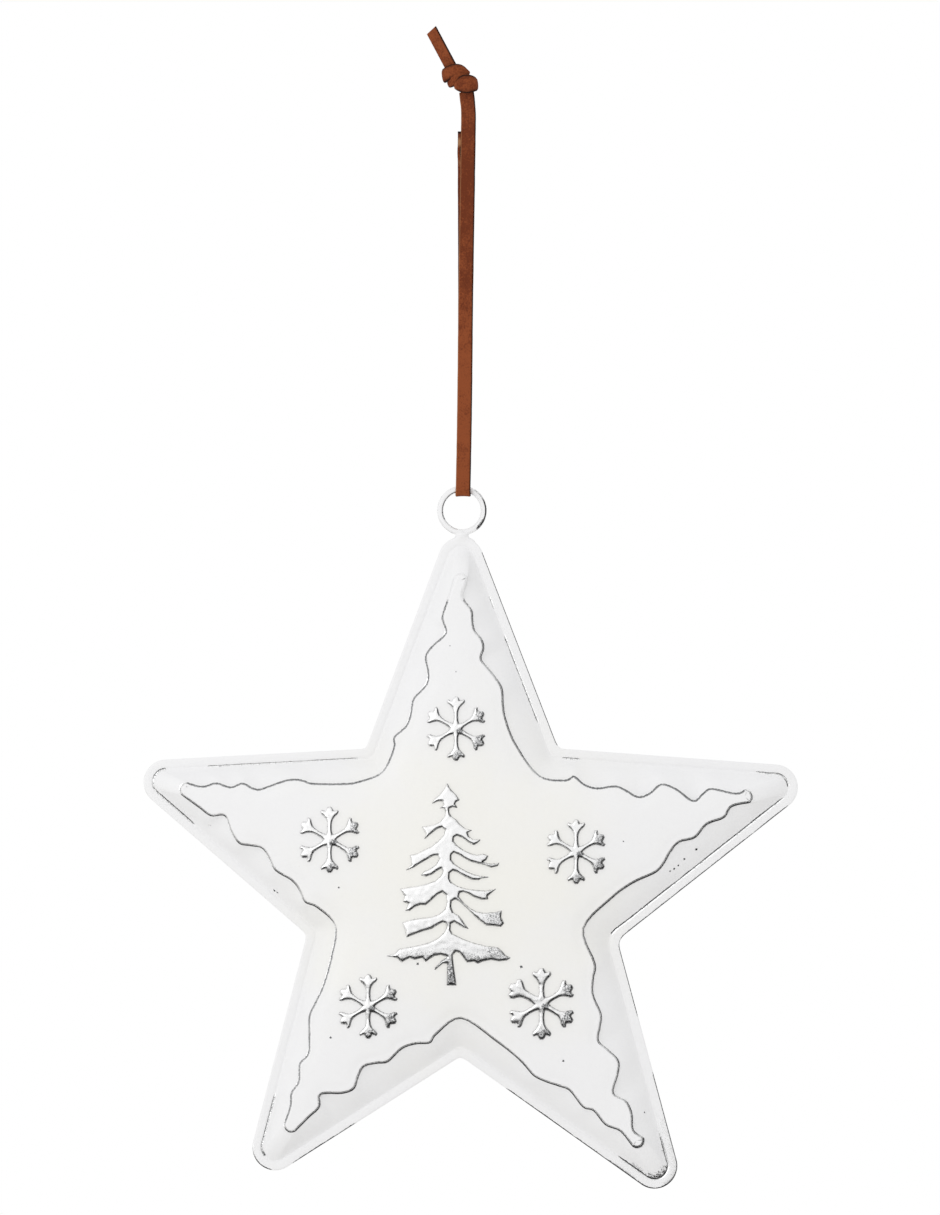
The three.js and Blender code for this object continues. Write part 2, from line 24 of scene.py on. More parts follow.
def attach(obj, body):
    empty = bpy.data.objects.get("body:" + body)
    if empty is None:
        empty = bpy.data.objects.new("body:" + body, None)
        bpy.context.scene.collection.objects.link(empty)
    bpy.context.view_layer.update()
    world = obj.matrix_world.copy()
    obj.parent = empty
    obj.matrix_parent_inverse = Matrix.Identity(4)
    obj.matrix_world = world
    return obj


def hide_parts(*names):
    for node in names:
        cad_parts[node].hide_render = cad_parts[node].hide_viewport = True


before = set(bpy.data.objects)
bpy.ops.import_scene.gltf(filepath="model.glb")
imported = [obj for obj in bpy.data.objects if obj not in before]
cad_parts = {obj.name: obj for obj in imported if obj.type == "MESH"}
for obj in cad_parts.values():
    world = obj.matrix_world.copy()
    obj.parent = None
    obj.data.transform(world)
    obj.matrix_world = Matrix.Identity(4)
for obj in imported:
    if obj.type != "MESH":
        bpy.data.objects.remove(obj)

log = logging.getLogger("star")
MM = 0.001
Line = np.ndarray
Numbers = np.ndarray
Mesh = bmesh.types.BMesh
Node = bpy.types.Node
Socket = bpy.types.NodeSocket
Material = bpy.types.Material
Value = float | Socket
Colour = tuple[float, float, float, float]
Tint = Colour | Socket


# Sizes


@dataclass(frozen=True)
class Arm:
    """One arm of the star: where it points, and where its tip and its raised middle end."""

    degrees: float
    reach: float
    shortfall: float


@dataclass(frozen=True)
class Notch:
    """The notch past an arm. The bay is how far the wavy step stays from it."""

    degrees: float
    radius: float
    bay: float


@dataclass(frozen=True)
class Ripples:
    """The wavy step on an arm's two edges: (share of the edge from the notch, distance in)."""

    before: tuple[tuple[float, float], ...]
    after: tuple[tuple[float, float], ...]


# The arms from the top one clockwise, and the notch past each of them.
ARMS = (
    Arm(90.2, 92.5, 9.7),
    Arm(17.1, 93.5, 12.6),
    Arm(-55.7, 97.3, 12.7),
    Arm(-125.3, 92.4, 11.8),
    Arm(-198.9, 89.5, 10.1),
)
NOTCHES = (
    Notch(54.5, 44.3, 8.8),
    Notch(-20.0, 44.2, 9.6),
    Notch(-90.4, 46.1, 10.3),
    Notch(-161.8, 43.6, 8.0),
    Notch(-234.5, 44.2, 7.5),
)
RIPPLES = (
    Ripples(
        before=(
            (0.05, 6.9), (0.1, 6.0), (0.17, 7.9), (0.23, 7.9), (0.3, 7.2), (0.35, 8.3),
            (0.4, 9.1), (0.45, 8.2), (0.51, 6.3), (0.57, 7.0), (0.65, 9.1), (0.71, 6.8),
            (0.79, 6.5),
        ),
        after=(
            (0.09, 10.1), (0.22, 10.2), (0.29, 9.4), (0.36, 8.2), (0.42, 8.7), (0.48, 9.8),
            (0.53, 10.5), (0.57, 8.9), (0.61, 8.5), (0.67, 9.4), (0.72, 8.8), (0.76, 8.2),
            (0.83, 9.0),
        ),
    ),
    Ripples(
        before=(
            (0.04, 8.2), (0.08, 7.0), (0.13, 9.0), (0.19, 9.7), (0.27, 8.8), (0.32, 9.7),
            (0.38, 11.2), (0.43, 10.0), (0.48, 7.4), (0.55, 8.4), (0.63, 11.2), (0.67, 9.2),
            (0.71, 7.6), (0.82, 8.4),
        ),
        after=(
            (0.1, 9.9), (0.22, 9.6), (0.33, 8.1), (0.39, 8.7), (0.44, 9.9), (0.5, 10.5),
            (0.57, 8.9), (0.65, 9.7), (0.73, 8.3), (0.79, 9.3),
        ),
    ),
    Ripples(
        before=(
            (0.07, 7.4), (0.13, 8.8), (0.2, 10.0), (0.29, 9.3), (0.34, 10.3), (0.4, 11.8),
            (0.45, 10.0), (0.51, 8.1), (0.57, 9.3), (0.64, 11.6), (0.69, 8.9), (0.75, 8.3),
            (0.82, 9.0),
        ),
        after=(
            (0.09, 8.9), (0.2, 8.6), (0.26, 8.0), (0.32, 7.2), (0.38, 7.8), (0.44, 8.9),
            (0.49, 9.5), (0.58, 8.0), (0.63, 8.8), (0.71, 7.6), (0.78, 8.5),
        ),
    ),
    Ripples(
        before=(
            (0.04, 8.6), (0.09, 7.6), (0.15, 9.4), (0.22, 10.3), (0.31, 9.4), (0.36, 10.6),
            (0.42, 11.7), (0.47, 10.3), (0.52, 8.2), (0.58, 8.8), (0.67, 11.6), (0.71, 9.0),
            (0.78, 8.2),
        ),
        after=(
            (0.06, 7.8), (0.2, 7.7), (0.29, 6.8), (0.36, 6.1), (0.43, 7.0), (0.53, 8.3),
            (0.59, 6.8), (0.67, 7.7), (0.73, 6.6), (0.79, 7.2),
        ),
    ),
    Ripples(
        before=(
            (0.05, 7.4), (0.11, 6.4), (0.17, 7.8), (0.23, 8.4), (0.32, 7.6), (0.38, 8.9),
            (0.44, 9.7), (0.49, 8.2), (0.54, 6.7), (0.61, 7.8), (0.68, 9.7), (0.73, 7.3),
            (0.8, 6.9),
        ),
        after=(
            (0.04, 8.5), (0.11, 8.9), (0.27, 8.4), (0.32, 7.4), (0.38, 7.0), (0.45, 7.8),
            (0.53, 9.1), (0.57, 8.8), (0.62, 7.3), (0.68, 8.2), (0.75, 6.9), (0.82, 7.6),
        ),
    ),
)


@dataclass(frozen=True)
class StarSize:
    """The star's sizes in millimetres. Heights are measured from the joint between the halves."""

    centre_z: float = -195.85
    tip_radius: float = 6.1
    tip_turn: float = 72.0
    tip_steps: int = 25
    wave_steps: int = 5
    notch_stretch: float = 1.26
    slope_top: float = 5.05
    step_rise: float = 1.05
    slope_swell: float = 0.48
    crown_rise: float = 2.4
    ridge_steps: int = 60
    ridge_bend: float = 16.0
    bulb_radius: float = 1.9
    dent: float = 0.1
    dent_width: float = 16.0


@dataclass(frozen=True)
class RingSize:
    """The wire ring and its solder."""

    wire: float = 1.6
    radius: float = 5.8
    centre_z: float = -96.25


@dataclass(frozen=True)
class LaceSize:
    """The leather lace."""

    width: float = 4.1
    thickness: float = 0.8
    wire_z: float = -90.45
    bight_radius: float = 1.6
    bight_x: float = 0.3
    lean: float = 22.0
    slit_top: float = 1.5
    slit_low: float = -2.6
    slit_gape: float = 0.75
    slit_offset: float = -1.0
    tail_width: float = 3.75
    tail_length: float = 14.4
    tail_lean: float = 28.0
    tail_cut: float = 13.0


# The routes of the lace's legs up from the bight, in metres.
KNOT_LEG_ROUTE = (
    (0.0004, -0.0017, -0.086), (0.0006, -0.0013, -0.075), (0.0008, -0.001, -0.06),
    (0.001, -0.00075, -0.04), (0.0014, -0.00065, -0.015), (0.0016, -0.00065, -0.002),
    (0.0017, -0.00065, 0.005), (0.0017, -0.0006, 0.0105), (0.0012, -0.0005, 0.0155),
)
SLIT_LEG_ROUTE = (
    (0.0004, 0.0017, -0.086), (0.0006, 0.0013, -0.075), (0.0008, 0.001, -0.06),
    (0.00095, 0.00075, -0.04), (0.0009, 0.00065, -0.02), (0.00085, 0.00065, -0.008),
    (0.00085, 0.00065, 0.005),
)


class Part(Enum):
    """Where on an arm a station lies."""

    BEFORE = 0
    TIP = 1
    AFTER = 2


BEFORE, TIP, AFTER = Part
Station = tuple[int, Part, float]


@dataclass(frozen=True)
class WearAndShade:
    """A stretch of an arm's edge where tin shows, as shares of the way to the tip."""

    arm: int
    part: Part
    start: float
    end: float
    strength: float = 1.0


# Where the paint is worn along the rim, the crease beside it, the wavy step, the flange between
# rim and crease, and the slope inside the crease. The rim's dark line on the right and lower
# edges is painted shade as well as wear.
RIM_WEAR_AND_SHADE = (
    WearAndShade(0, AFTER, 0.0, 1.0, 0.85),
    WearAndShade(1, AFTER, 0.0, 1.0, 0.8),
    WearAndShade(2, BEFORE, 0.0, 0.35, 0.75),
    WearAndShade(2, BEFORE, 0.6, 1.0, 0.9),
    WearAndShade(2, TIP, 0.0, 1.0, 0.95),
    WearAndShade(2, AFTER, 0.25, 1.0, 0.85),
    WearAndShade(3, TIP, 0.0, 0.7, 0.85),
    WearAndShade(3, BEFORE, 0.6, 1.0, 0.8),
    WearAndShade(4, TIP, 0.3, 0.9, 0.55),
)
CREASE_WEAR = (
    WearAndShade(0, AFTER, 0.14, 0.6, 0.66),
    WearAndShade(0, AFTER, 0.72, 0.8, 0.55),
    WearAndShade(1, BEFORE, 0.02, 0.11, 0.75),
    WearAndShade(1, BEFORE, 0.91, 1.0, 0.9),
    WearAndShade(1, TIP, 0.4, 1.0, 0.9),
    WearAndShade(1, AFTER, 0.0, 1.0, 0.78),
    WearAndShade(2, BEFORE, 0.86, 1.0, 0.85),
    WearAndShade(2, TIP, 0.0, 1.0, 0.8),
    WearAndShade(2, AFTER, 0.84, 1.0, 0.8),
    WearAndShade(3, AFTER, 0.76, 1.0, 1.1),
    WearAndShade(3, TIP, 0.0, 0.4, 1.1),
    WearAndShade(4, AFTER, 0.04, 0.8, 0.7),
    WearAndShade(4, BEFORE, 0.76, 1.0, 0.9),
    WearAndShade(4, TIP, 0.0, 1.0, 1.0),
)
STEP_WEAR = (
    WearAndShade(0, BEFORE, 0.0, 0.81, 1.7),
    WearAndShade(0, AFTER, 0.0, 0.82, 1.3),
    WearAndShade(1, BEFORE, 0.0, 1.0, 1.9),
    WearAndShade(1, TIP, 0.0, 1.0, 1.1),
    WearAndShade(1, AFTER, 0.0, 1.0, 1.55),
    WearAndShade(2, BEFORE, 0.0, 1.0, 1.2),
    WearAndShade(2, TIP, 0.0, 1.0, 1.7),
    WearAndShade(2, AFTER, 0.0, 1.0, 1.05),
    WearAndShade(3, BEFORE, 0.0, 1.0, 1.35),
    WearAndShade(3, TIP, 0.0, 1.0, 1.1),
    WearAndShade(3, AFTER, 0.0, 1.0, 1.6),
    WearAndShade(4, BEFORE, 0.0, 1.0, 1.05),
    WearAndShade(4, TIP, 0.0, 1.0, 1.1),
    WearAndShade(4, AFTER, 0.0, 1.0, 1.8),
)
FLANGE_WEAR = (
    WearAndShade(2, BEFORE, 0.8, 1.0, 0.5),
    WearAndShade(2, TIP, 0.4, 1.0, 0.55),
    WearAndShade(2, AFTER, 0.8, 1.0, 0.42),
)
SLOPE_WEAR = (
    WearAndShade(2, BEFORE, 0.92, 1.0, 0.38),
    WearAndShade(2, TIP, 0.0, 0.9, 0.48),
    WearAndShade(2, AFTER, 0.88, 1.0, 0.42),
)

# The fir tree's outline, read off the photograph: (across, up) from its foot
# in steps of TREE_GRID, down the left side from the top and up the right side.
TREE_GRID = 0.267
TREE_FOOT = (-3.0, -27.1)
FIR_TREE = (
    (-4.7, 200), (-7, 196), (-11.5, 190.5), (-17, 186), (-18.7, 181.7), (-13, 184.2),
    (-8.5, 184.2), (-7, 181), (-11, 177.2), (-7.5, 177.5), (-5.2, 174), (-6, 169.5), (-10, 164.3),
    (-16, 161.3), (-23, 159.7), (-28.7, 158.7), (-25, 151.5), (-26.5, 146.2), (-20, 151.5),
    (-13.5, 156.7), (-9, 158.2), (-5.7, 155.5), (-7, 151), (-12, 145.5), (-19, 139.5),
    (-27, 135.5), (-34, 132), (-40.7, 130.5), (-39.7, 126), (-39, 121), (-45.5, 115), (-37.5, 118),
    (-31, 122), (-23, 126.7), (-17, 130.2), (-13.2, 130.2), (-11.7, 126.5), (-14.5, 121.5),
    (-20, 117.5), (-27, 114.2), (-30, 110.5), (-24.5, 109.2), (-18.5, 111.3), (-14, 114.7),
    (-9.7, 117.2), (-8, 114), (-10, 110), (-15.5, 105.2), (-24, 102), (-34, 99.8), (-44, 98.2),
    (-50.7, 96.7), (-46.2, 89.5), (-47.7, 84.2), (-42.5, 82), (-45.5, 75), (-41, 75), (-35.5, 79),
    (-30, 81), (-25, 80.7), (-19, 85.7), (-13.5, 91), (-8.5, 93.5), (-5.2, 90.5), (-4, 84),
    (-5.5, 77), (-11, 72), (-19, 69), (-30, 67.7), (-40, 66.2), (-48.5, 63.2), (-45.5, 55),
    (-44, 48.5), (-35, 52), (-26, 55.2), (-19, 57), (-13, 61), (-8, 63.7), (-5.5, 62.7), (-4, 59),
    (-6.5, 53.5), (-13, 47.7), (-22, 43.2), (-32, 40.7), (-42, 38.7), (-51, 37.2), (-56, 32.5),
    (-64, 30), (-54, 28), (-49, 23.7), (-41, 28), (-36, 26.2), (-28.5, 28), (-25, 24), (-21, 27),
    (-16, 30), (-10, 31), (-4, 29.2), (-6, 27.5), (-10, 24.5), (-15.5, 18.5), (-16, 15.7),
    (-11.5, 19.5), (-7.5, 22.7), (-3.7, 22), (-3.7, 12), (-4, 0.5), (5.8, 0.5), (4, 13), (2.7, 23),
    (2, 30.5), (5, 34), (8.5, 33), (12.5, 28), (16, 23.5), (23, 24.3), (27, 22.2), (32, 24.5),
    (40, 26), (48, 24.7), (56, 25.5), (59.8, 28), (55, 30.5), (51.5, 34.5), (47, 38.5), (34, 40.2),
    (24, 42.7), (15, 45.7), (8, 49), (2, 52), (-0.2, 56), (0.3, 62), (3.5, 63.7), (7.5, 61.2),
    (12, 58.5), (17.8, 57), (14, 62), (11.5, 66), (8, 70.2), (2.5, 73.5), (0.5, 79), (1, 84.5),
    (4.5, 86.5), (9, 84), (16, 77.5), (23, 70.2), (29, 65), (35, 60.5), (42, 60), (50, 59),
    (53.3, 62.5), (50.3, 69), (51, 75.5), (43, 73.7), (32, 73), (25, 74.5), (19.5, 77.5), (13, 83),
    (8.2, 89), (9, 92.7), (12.5, 94), (17, 92.2), (23, 88.5), (31, 86), (37.5, 86.5), (37, 89.5),
    (39.5, 92), (45.5, 97), (34, 95), (23, 96), (14, 97.3), (7, 99.5), (1, 103.3), (-1.3, 107),
    (-1, 112.5), (2, 115), (6.5, 113.5), (13, 109.5), (21, 106), (28, 105.7), (31, 107.5),
    (40, 108.7), (30.5, 109.7), (24, 111), (17, 113.7), (10, 117.5), (3.5, 122), (0.7, 126),
    (0.7, 131), (3, 133), (7, 131.5), (13, 127.7), (20, 124), (27, 122.2), (33.5, 121), (40, 118),
    (47, 119.7), (48.5, 123), (40, 122), (32, 123.5), (35.5, 125.5), (37.5, 130), (32, 131.8),
    (26, 130.7), (20, 132.2), (13, 135.5), (6.5, 140), (3, 144.5), (3.2, 148), (6, 150), (11, 148),
    (18, 143), (23, 140.5), (26.5, 142.5), (30, 146), (22, 146.5), (18.5, 149), (17, 153),
    (21.5, 155.5), (14.5, 157), (9, 161.5), (6, 165.5), (1, 169), (-1.5, 173), (-1.5, 177),
    (2, 178.5), (7, 177.5), (4.5, 181.5), (5.5, 183.5), (9, 185.5), (5.5, 190.5), (1, 195),
    (-1.5, 198.5), (-3.5, 202.5),
)
# Chips in the paint: (across, up, radius) about the star's centre.
CHIPS = (
    (-50.0, -1.8, 0.35), (-49.3, -2.4, 0.3), (-67.3, 15.6, 0.3), (-32.8, -0.9, 0.25),
    (62.5, 9.2, 0.35), (59.3, 6.6, 0.3), (57.7, 4.9, 0.25), (56.6, 4.0, 0.3), (55.5, 3.4, 0.25),
    (43.0, 11.4, 0.2), (15.8, -22.0, 0.4), (27.0, -47.1, 0.3), (-11.8, -21.2, 0.35),
    (-35.0, -40.9, 0.3), (-3.2, 63.5, 0.15), (-1.6, 56.6, 0.15), (48.7, -61.0, 0.2),
)
# The snowflakes: (across, up, radius, extra width all round, and more on the upper left arm).
SNOWFLAKES = {
    "top": (-1.6, 41.4, 8.3, 0.08, 0.0),
    "right": (30.4, 8.6, 8.3, 0.1, 0.0),
    "low_right": (21.2, -31.9, 9.1, 0.24, 0.3),
    "low_left": (-25.0, -32.6, 8.3, 0.12, 0.0),
    "left": (-35.3, 11.8, 8.5, 0.1, 0.0),
}


# Finishes


def linear(code: str) -> Colour:
    """Turns an sRGB hex colour into a linear one."""
    parts = [int(code[i : i + 2], 16) / 255 for i in (1, 3, 5)]
    made = [p / 12.92 if p <= 0.04045 else ((p + 0.055) / 1.055) ** 2.4 for p in parts]
    return made[0], made[1], made[2], 1.0


class Nodes:
    """The node tree of a material or a world, built one small step at a time."""

    def __init__(self, owner: bpy.types.ID, output: str = "ShaderNodeOutputMaterial") -> None:
        """Empties the owner's node tree and gives it that output.

        Args:
            owner: the material or the world.
            output: the type of its output node.
        """
        self.owner = owner
        owner.use_nodes = True
        self.tree = owner.node_tree
        self.tree.nodes.clear()
        self.output = self.tree.nodes.new(output)

    @classmethod
    def of_material(cls, name: str) -> "Nodes":
        """The nodes of a new material."""
        return cls(bpy.data.materials.new(name))

    @cached_property
    def place(self) -> Socket:
        """Where on its object each point lies."""
        return self.add("ShaderNodeTexCoord").outputs["Object"]

    def add(self, kind: str, inputs: dict | None = None, **settings: str) -> Node:
        """Adds a node.

        Args:
            kind: the node's type.
            inputs: a value or a socket to link for each named or numbered input.
            settings: the node's own settings.

        Returns:
            The new node.
        """
        node = self.tree.nodes.new(kind)
        for key, value in settings.items():
            setattr(node, key, value)
        for key, value in (inputs or {}).items():
            if isinstance(value, Socket):
                self.tree.links.new(value, node.inputs[key])
            else:
                node.inputs[key].default_value = value
        return node

    def math(self, operation: str, *values: Value) -> Socket:
        """One sum on numbers or sockets."""
        inputs = dict(enumerate(values))
        return self.add("ShaderNodeMath", inputs, operation=operation).outputs[0]

    def varied(self, base: Value, cloud: Socket, amount: float) -> Socket:
        """The base, raised where the cloud is over a half and lowered where it is under it."""
        swing = self.math("MULTIPLY", self.math("SUBTRACT", cloud, 0.5), amount)
        return self.math("ADD", base, swing)

    def spread(self, value: Socket, low: float, high: float) -> Socket:
        """0 below low, 1 above high and smooth between them.

        Args:
            value: the number.
            low: where it is 0.
            high: where it is 1.

        Returns:
            The share.
        """
        inputs = {"Value": value, "From Min": low, "From Max": high}
        node = self.add("ShaderNodeMapRange", inputs, interpolation_type="SMOOTHSTEP")
        return node.outputs["Result"]

    def noise(self, size: float, detail: float = 2.0, rough: float = 0.5) -> Socket:
        """Cloudy noise whose lumps are about size millimetres across."""
        lumps = {"Scale": 1 / (size * MM), "Detail": detail, "Roughness": rough}
        return self.add("ShaderNodeTexNoise", {"Vector": self.place, **lumps}).outputs["Fac"]

    def mix(self, share: Value, first: Tint, second: Tint) -> Socket:
        """A colour between two colours."""
        inputs = {0: share, 6: first, 7: second}
        return self.add("ShaderNodeMix", inputs, data_type="RGBA").outputs[2]

    def mask(self, name: str) -> Socket:
        """A number that is stored on the mesh."""
        return self.add("ShaderNodeAttribute", attribute_name=name).outputs["Fac"]

    def bump(self, height: Socket, depth: float) -> Socket:
        """A fine relief of that depth in millimetres."""
        inputs = {"Height": height, "Distance": depth * MM, "Strength": 1.0}
        return self.add("ShaderNodeBump", inputs).outputs["Normal"]

    def finish(self, shader: Node) -> bpy.types.ID:
        """Sets the surface shader and hands back the material or the world."""
        self.tree.links.new(shader.outputs[0], self.output.inputs["Surface"])
        return self.owner


@dataclass(frozen=True)
class BareTin:
    """Hot-dipped tinplate, worn bare; its dull colour marks dull spots and painted shade."""

    bright: str = "#f3f3f3"
    # The dull colour is dull tin, and also painted shade on the motifs, the rim and the wire.
    dull: str = "#6a6b6d"
    grain: float = 0.28
    cloud: float = 2.2
    relief: float = 0.02
    roughness: float = 0.26
    uneven: float = 0.16

    def shader(self, nodes: Nodes, dull_and_shade_share: Socket) -> Node:
        """The tin's shader, dark where the socket says so, for dull tin and painted shade.

        Args:
            nodes: the material's nodes.
            dull_and_shade_share: how dark the tin is, 0 to 1, for dullness and painted shade.

        Returns:
            The shader.
        """
        grain = nodes.noise(self.grain, 3.0, 0.6)
        dark_share = nodes.spread(nodes.varied(dull_and_shade_share, grain, 1.8), 0.3, 0.75)
        inputs = {
            "Base Color": nodes.mix(dark_share, linear(self.bright), linear(self.dull)),
            "Metallic": 1.0,
            "Roughness": nodes.varied(self.roughness, nodes.noise(self.cloud), self.uneven),
            "Normal": nodes.bump(grain, self.relief),
        }
        return nodes.add("ShaderNodeBsdfPrincipled", inputs)


@dataclass(frozen=True)
class Whitewash:
    """Thin matt whitewash brushed over tinplate: cream in the middle and cooler at the tips."""

    cream: str = "#f4f3ee"
    cool: str = "#f3f3f4"
    soil: str = "#d9d4c8"
    cream_reach: float = 85.0
    cloud: float = 14.0
    speck: float = 0.55
    stroke: float = 1.6
    swell: float = 6.0
    relief: float = 0.07
    roughness: float = 0.5
    uneven: float = 0.14

    def shader(self, nodes: Nodes, away: Socket) -> Node:
        """The paint's shader.

        Args:
            nodes: the material's nodes.
            away: 0 at the star's middle and 1 at its tips.

        Returns:
            The shader.
        """
        cloud = nodes.noise(self.cloud, 3.0, 0.55)
        cooled = nodes.spread(nodes.varied(away, cloud, 0.5), 0.1, 0.7)
        ground = nodes.mix(cooled, linear(self.cream), linear(self.cool))
        soiled = nodes.spread(nodes.noise(self.speck, 2.0, 0.7), 0.735, 0.8)
        brushed = nodes.math("ADD", nodes.noise(self.stroke, 4.0, 0.6), nodes.noise(self.swell))
        inputs = {
            "Base Color": nodes.mix(nodes.math("MULTIPLY", soiled, 0.5), ground, linear(self.soil)),
            "Roughness": nodes.varied(self.roughness, cloud, self.uneven),
            "Normal": nodes.bump(brushed, self.relief),
        }
        return nodes.add("ShaderNodeBsdfPrincipled", inputs)


def worn_and_shaded_paint(name: str, paint: Whitewash, tin: BareTin, ragged: float) -> Material:
    """Whitewash worn through to the tin where the mesh's mask says so.

    The mask also holds painted shade along the rim and the wire's edges, shown as dull tin.

    Args:
        name: the material's name.
        paint: the paint's finish.
        tin: the bare metal's finish.
        ragged: how uneven the worn edges are.

    Returns:
        The material.
    """
    nodes = Nodes.of_material(name)
    centre = {0: nodes.place, 1: (0.0, 0.0, StarSize.centre_z * MM)}
    far = nodes.add("ShaderNodeVectorMath", centre, operation="DISTANCE").outputs["Value"]
    painted = paint.shader(nodes, nodes.math("DIVIDE", far, paint.cream_reach * MM))
    wear_and_shade = nodes.mask("wear_and_shade")
    metal = tin.shader(nodes, nodes.math("MULTIPLY", wear_and_shade, 0.5))
    along = nodes.math("MULTIPLY", wear_and_shade, nodes.varied(1.0, nodes.noise(5.0), 1.1))
    bare = nodes.spread(nodes.varied(along, nodes.noise(0.5, 3.0, 0.7), ragged), 0.4, 0.56)
    inputs = {0: bare, 1: painted.outputs[0], 2: metal.outputs[0]}
    return nodes.finish(nodes.add("ShaderNodeMixShader", inputs))


def bare_tin(name: str, tin: BareTin) -> Material:
    """Bare tin, darkened where the mesh's mask says so: dull chips, and painted shade on the
    motifs.
    """
    nodes = Nodes.of_material(name)
    return nodes.finish(tin.shader(nodes, nodes.mask("dull_and_shade")))


@dataclass(frozen=True)
class LaceLeather:
    """Drum-dyed cowhide lace with a matt grain and darker, burnished edges, which also carry
    painted shade between the knot's wraps and along the front leg's right edge.
    """

    grain: str = "#682e14"
    light: str = "#8b4725"
    # Edge colour: burnished leather, also painted shade between the knot's wraps.
    edge: str = "#230d06"
    raw_and_highlight: str = "#cfa273"
    pore: float = 0.5
    cloud: float = 3.5
    fibre: float = 0.2
    relief: float = 0.05
    roughness: float = 0.72
    uneven: float = 0.2
    shine: float = 0.15

    def material(self, name: str) -> Material:
        """The lace's grain side and its edges, with painted light: darkest 10 mm below the origin
        and lighter up and down from there.

        Args:
            name: the material's name.

        Returns:
            The material.
        """
        nodes = Nodes.of_material(name)
        pores = nodes.noise(self.pore, 3.0, 0.65)
        height = nodes.add("ShaderNodeSeparateXYZ", {0: nodes.place}).outputs["Z"]
        # Painted light: the lace gets lighter away from 10 mm below the origin.
        painted_light_falloff = nodes.math("ABSOLUTE", nodes.math("ADD", height, 0.01))
        mottle_and_falloff = nodes.varied(pores, nodes.noise(self.cloud), 0.6)
        mottle_and_falloff = nodes.varied(mottle_and_falloff, nodes.spread(painted_light_falloff, 0.0, 0.06), 0.3)
        face = nodes.mix(nodes.spread(mottle_and_falloff, 0.3, 0.7), linear(self.grain), linear(self.light))
        # The raw mask holds real scuffs and the front leg's painted edge highlight.
        scuffed_and_lit = nodes.mix(nodes.mask("raw_and_highlight"), face, linear(self.raw_and_highlight))
        inputs = {
            "Base Color": nodes.mix(nodes.mask("edge"), scuffed_and_lit, linear(self.edge)),
            "Roughness": nodes.varied(self.roughness, pores, self.uneven),
            "Specular IOR Level": self.shine,
            "Normal": nodes.bump(pores, self.relief),
        }
        return nodes.finish(nodes.add("ShaderNodeBsdfPrincipled", inputs))

    def cut(self, name: str) -> Material:
        """The undyed leather in a fresh cut.

        Args:
            name: the material's name.

        Returns:
            The material.
        """
        nodes = Nodes.of_material(name)
        fibres = nodes.noise(self.fibre, 3.0, 0.7)
        colour = nodes.mix(nodes.spread(fibres, 0.45, 0.9), linear(self.edge), linear(self.raw_and_highlight))
        inputs = {"Base Color": colour, "Roughness": 0.9, "Normal": nodes.bump(fibres, self.relief)}
        return nodes.finish(nodes.add("ShaderNodeBsdfPrincipled", inputs))


# Meshes


def smooth_through(points: Line, counts: Sequence[int], closed: bool) -> Line:
    """A smooth line through points.

    Args:
        points: the points, one to a row.
        counts: how many steps there are from each point to the next.
        closed: whether the line runs on from the last point to the first.

    Returns:
        The line's points.
    """
    n = len(points)
    made = []
    for i in range(n if closed else n - 1):
        ends = [(i + k) % n if closed else min(max(i + k, 0), n - 1) for k in (-1, 0, 1, 2)]
        a, b, c, d = (points[k] for k in ends)
        for t in np.arange(counts[i]) / counts[i]:
            bend = (2 * a - 5 * b + 4 * c - d) * t**2 + (3 * b - a - 3 * c + d) * t**3
            made.append((2 * b + (c - a) * t + bend) / 2)
    return np.array(made if closed else [*made, points[-1]])


def straight_through(points: Line, counts: Sequence[int]) -> Line:
    """A closed line with straight runs between points.

    Args:
        points: the points, one to a row.
        counts: how many steps each run has.

    Returns:
        The line's points.
    """
    after = np.roll(points, -1, axis=0)
    return np.array(
        [a + (b - a) * t for a, b, c in zip(points, after, counts) for t in np.arange(c) / c]
    )


def polar(degrees: float, radius: float = 1.0) -> Line:
    """A point by its direction and distance."""
    turn = math.radians(degrees)
    return radius * np.array([math.cos(turn), math.sin(turn)])


def depth_in_outline(outline: Line, points: Line) -> Numbers:
    """How deep points lie inside a closed outline.

    Args:
        outline: the outline's points, one to a row.
        points: the points to measure.

    Returns:
        Each point's distance from the outline, below 0 outside it.
    """
    nearest = np.full(len(points), np.inf)
    inside = np.zeros(len(points), dtype=bool)
    for a, b in zip(outline, np.roll(outline, -1, axis=0)):
        along = b - a
        share = np.clip(((points - a) @ along) / (along @ along), 0, 1)
        gap = points - (a + share[:, None] * along)
        nearest = np.minimum(nearest, np.hypot(gap[:, 0], gap[:, 1]))
        crosses = (a[1] > points[:, 1]) != (b[1] > points[:, 1])
        if a[1] != b[1]:
            at = a[0] + (points[:, 1] - a[1]) / (b[1] - a[1]) * along[0]
            inside ^= crosses & (points[:, 0] < at)
    return np.where(inside, nearest, -nearest)


def sheet_of(bm: Mesh, places: Line, masks: dict[str, Numbers]) -> None:
    """Adds a bent sheet of quads.

    Args:
        bm: the mesh to add it to.
        places: where the corner in each row and column lies, in metres.
        masks: the numbers to store on the corners, by the mask's name.
    """
    rows, columns = places.shape[:2]
    layers = {name: bm.verts.layers.float[name] for name in masks}
    made = bmesh.ops.create_grid(bm, x_segments=columns - 1, y_segments=rows - 1, size=1.0)
    for vert in made["verts"]:
        column = round((vert.co.x + 1) / 2 * (columns - 1))
        row = round((vert.co.y + 1) / 2 * (rows - 1))
        vert.co = places[row, column]
        for name, mask in masks.items():
            vert[layers[name]] = float(mask[row, column])


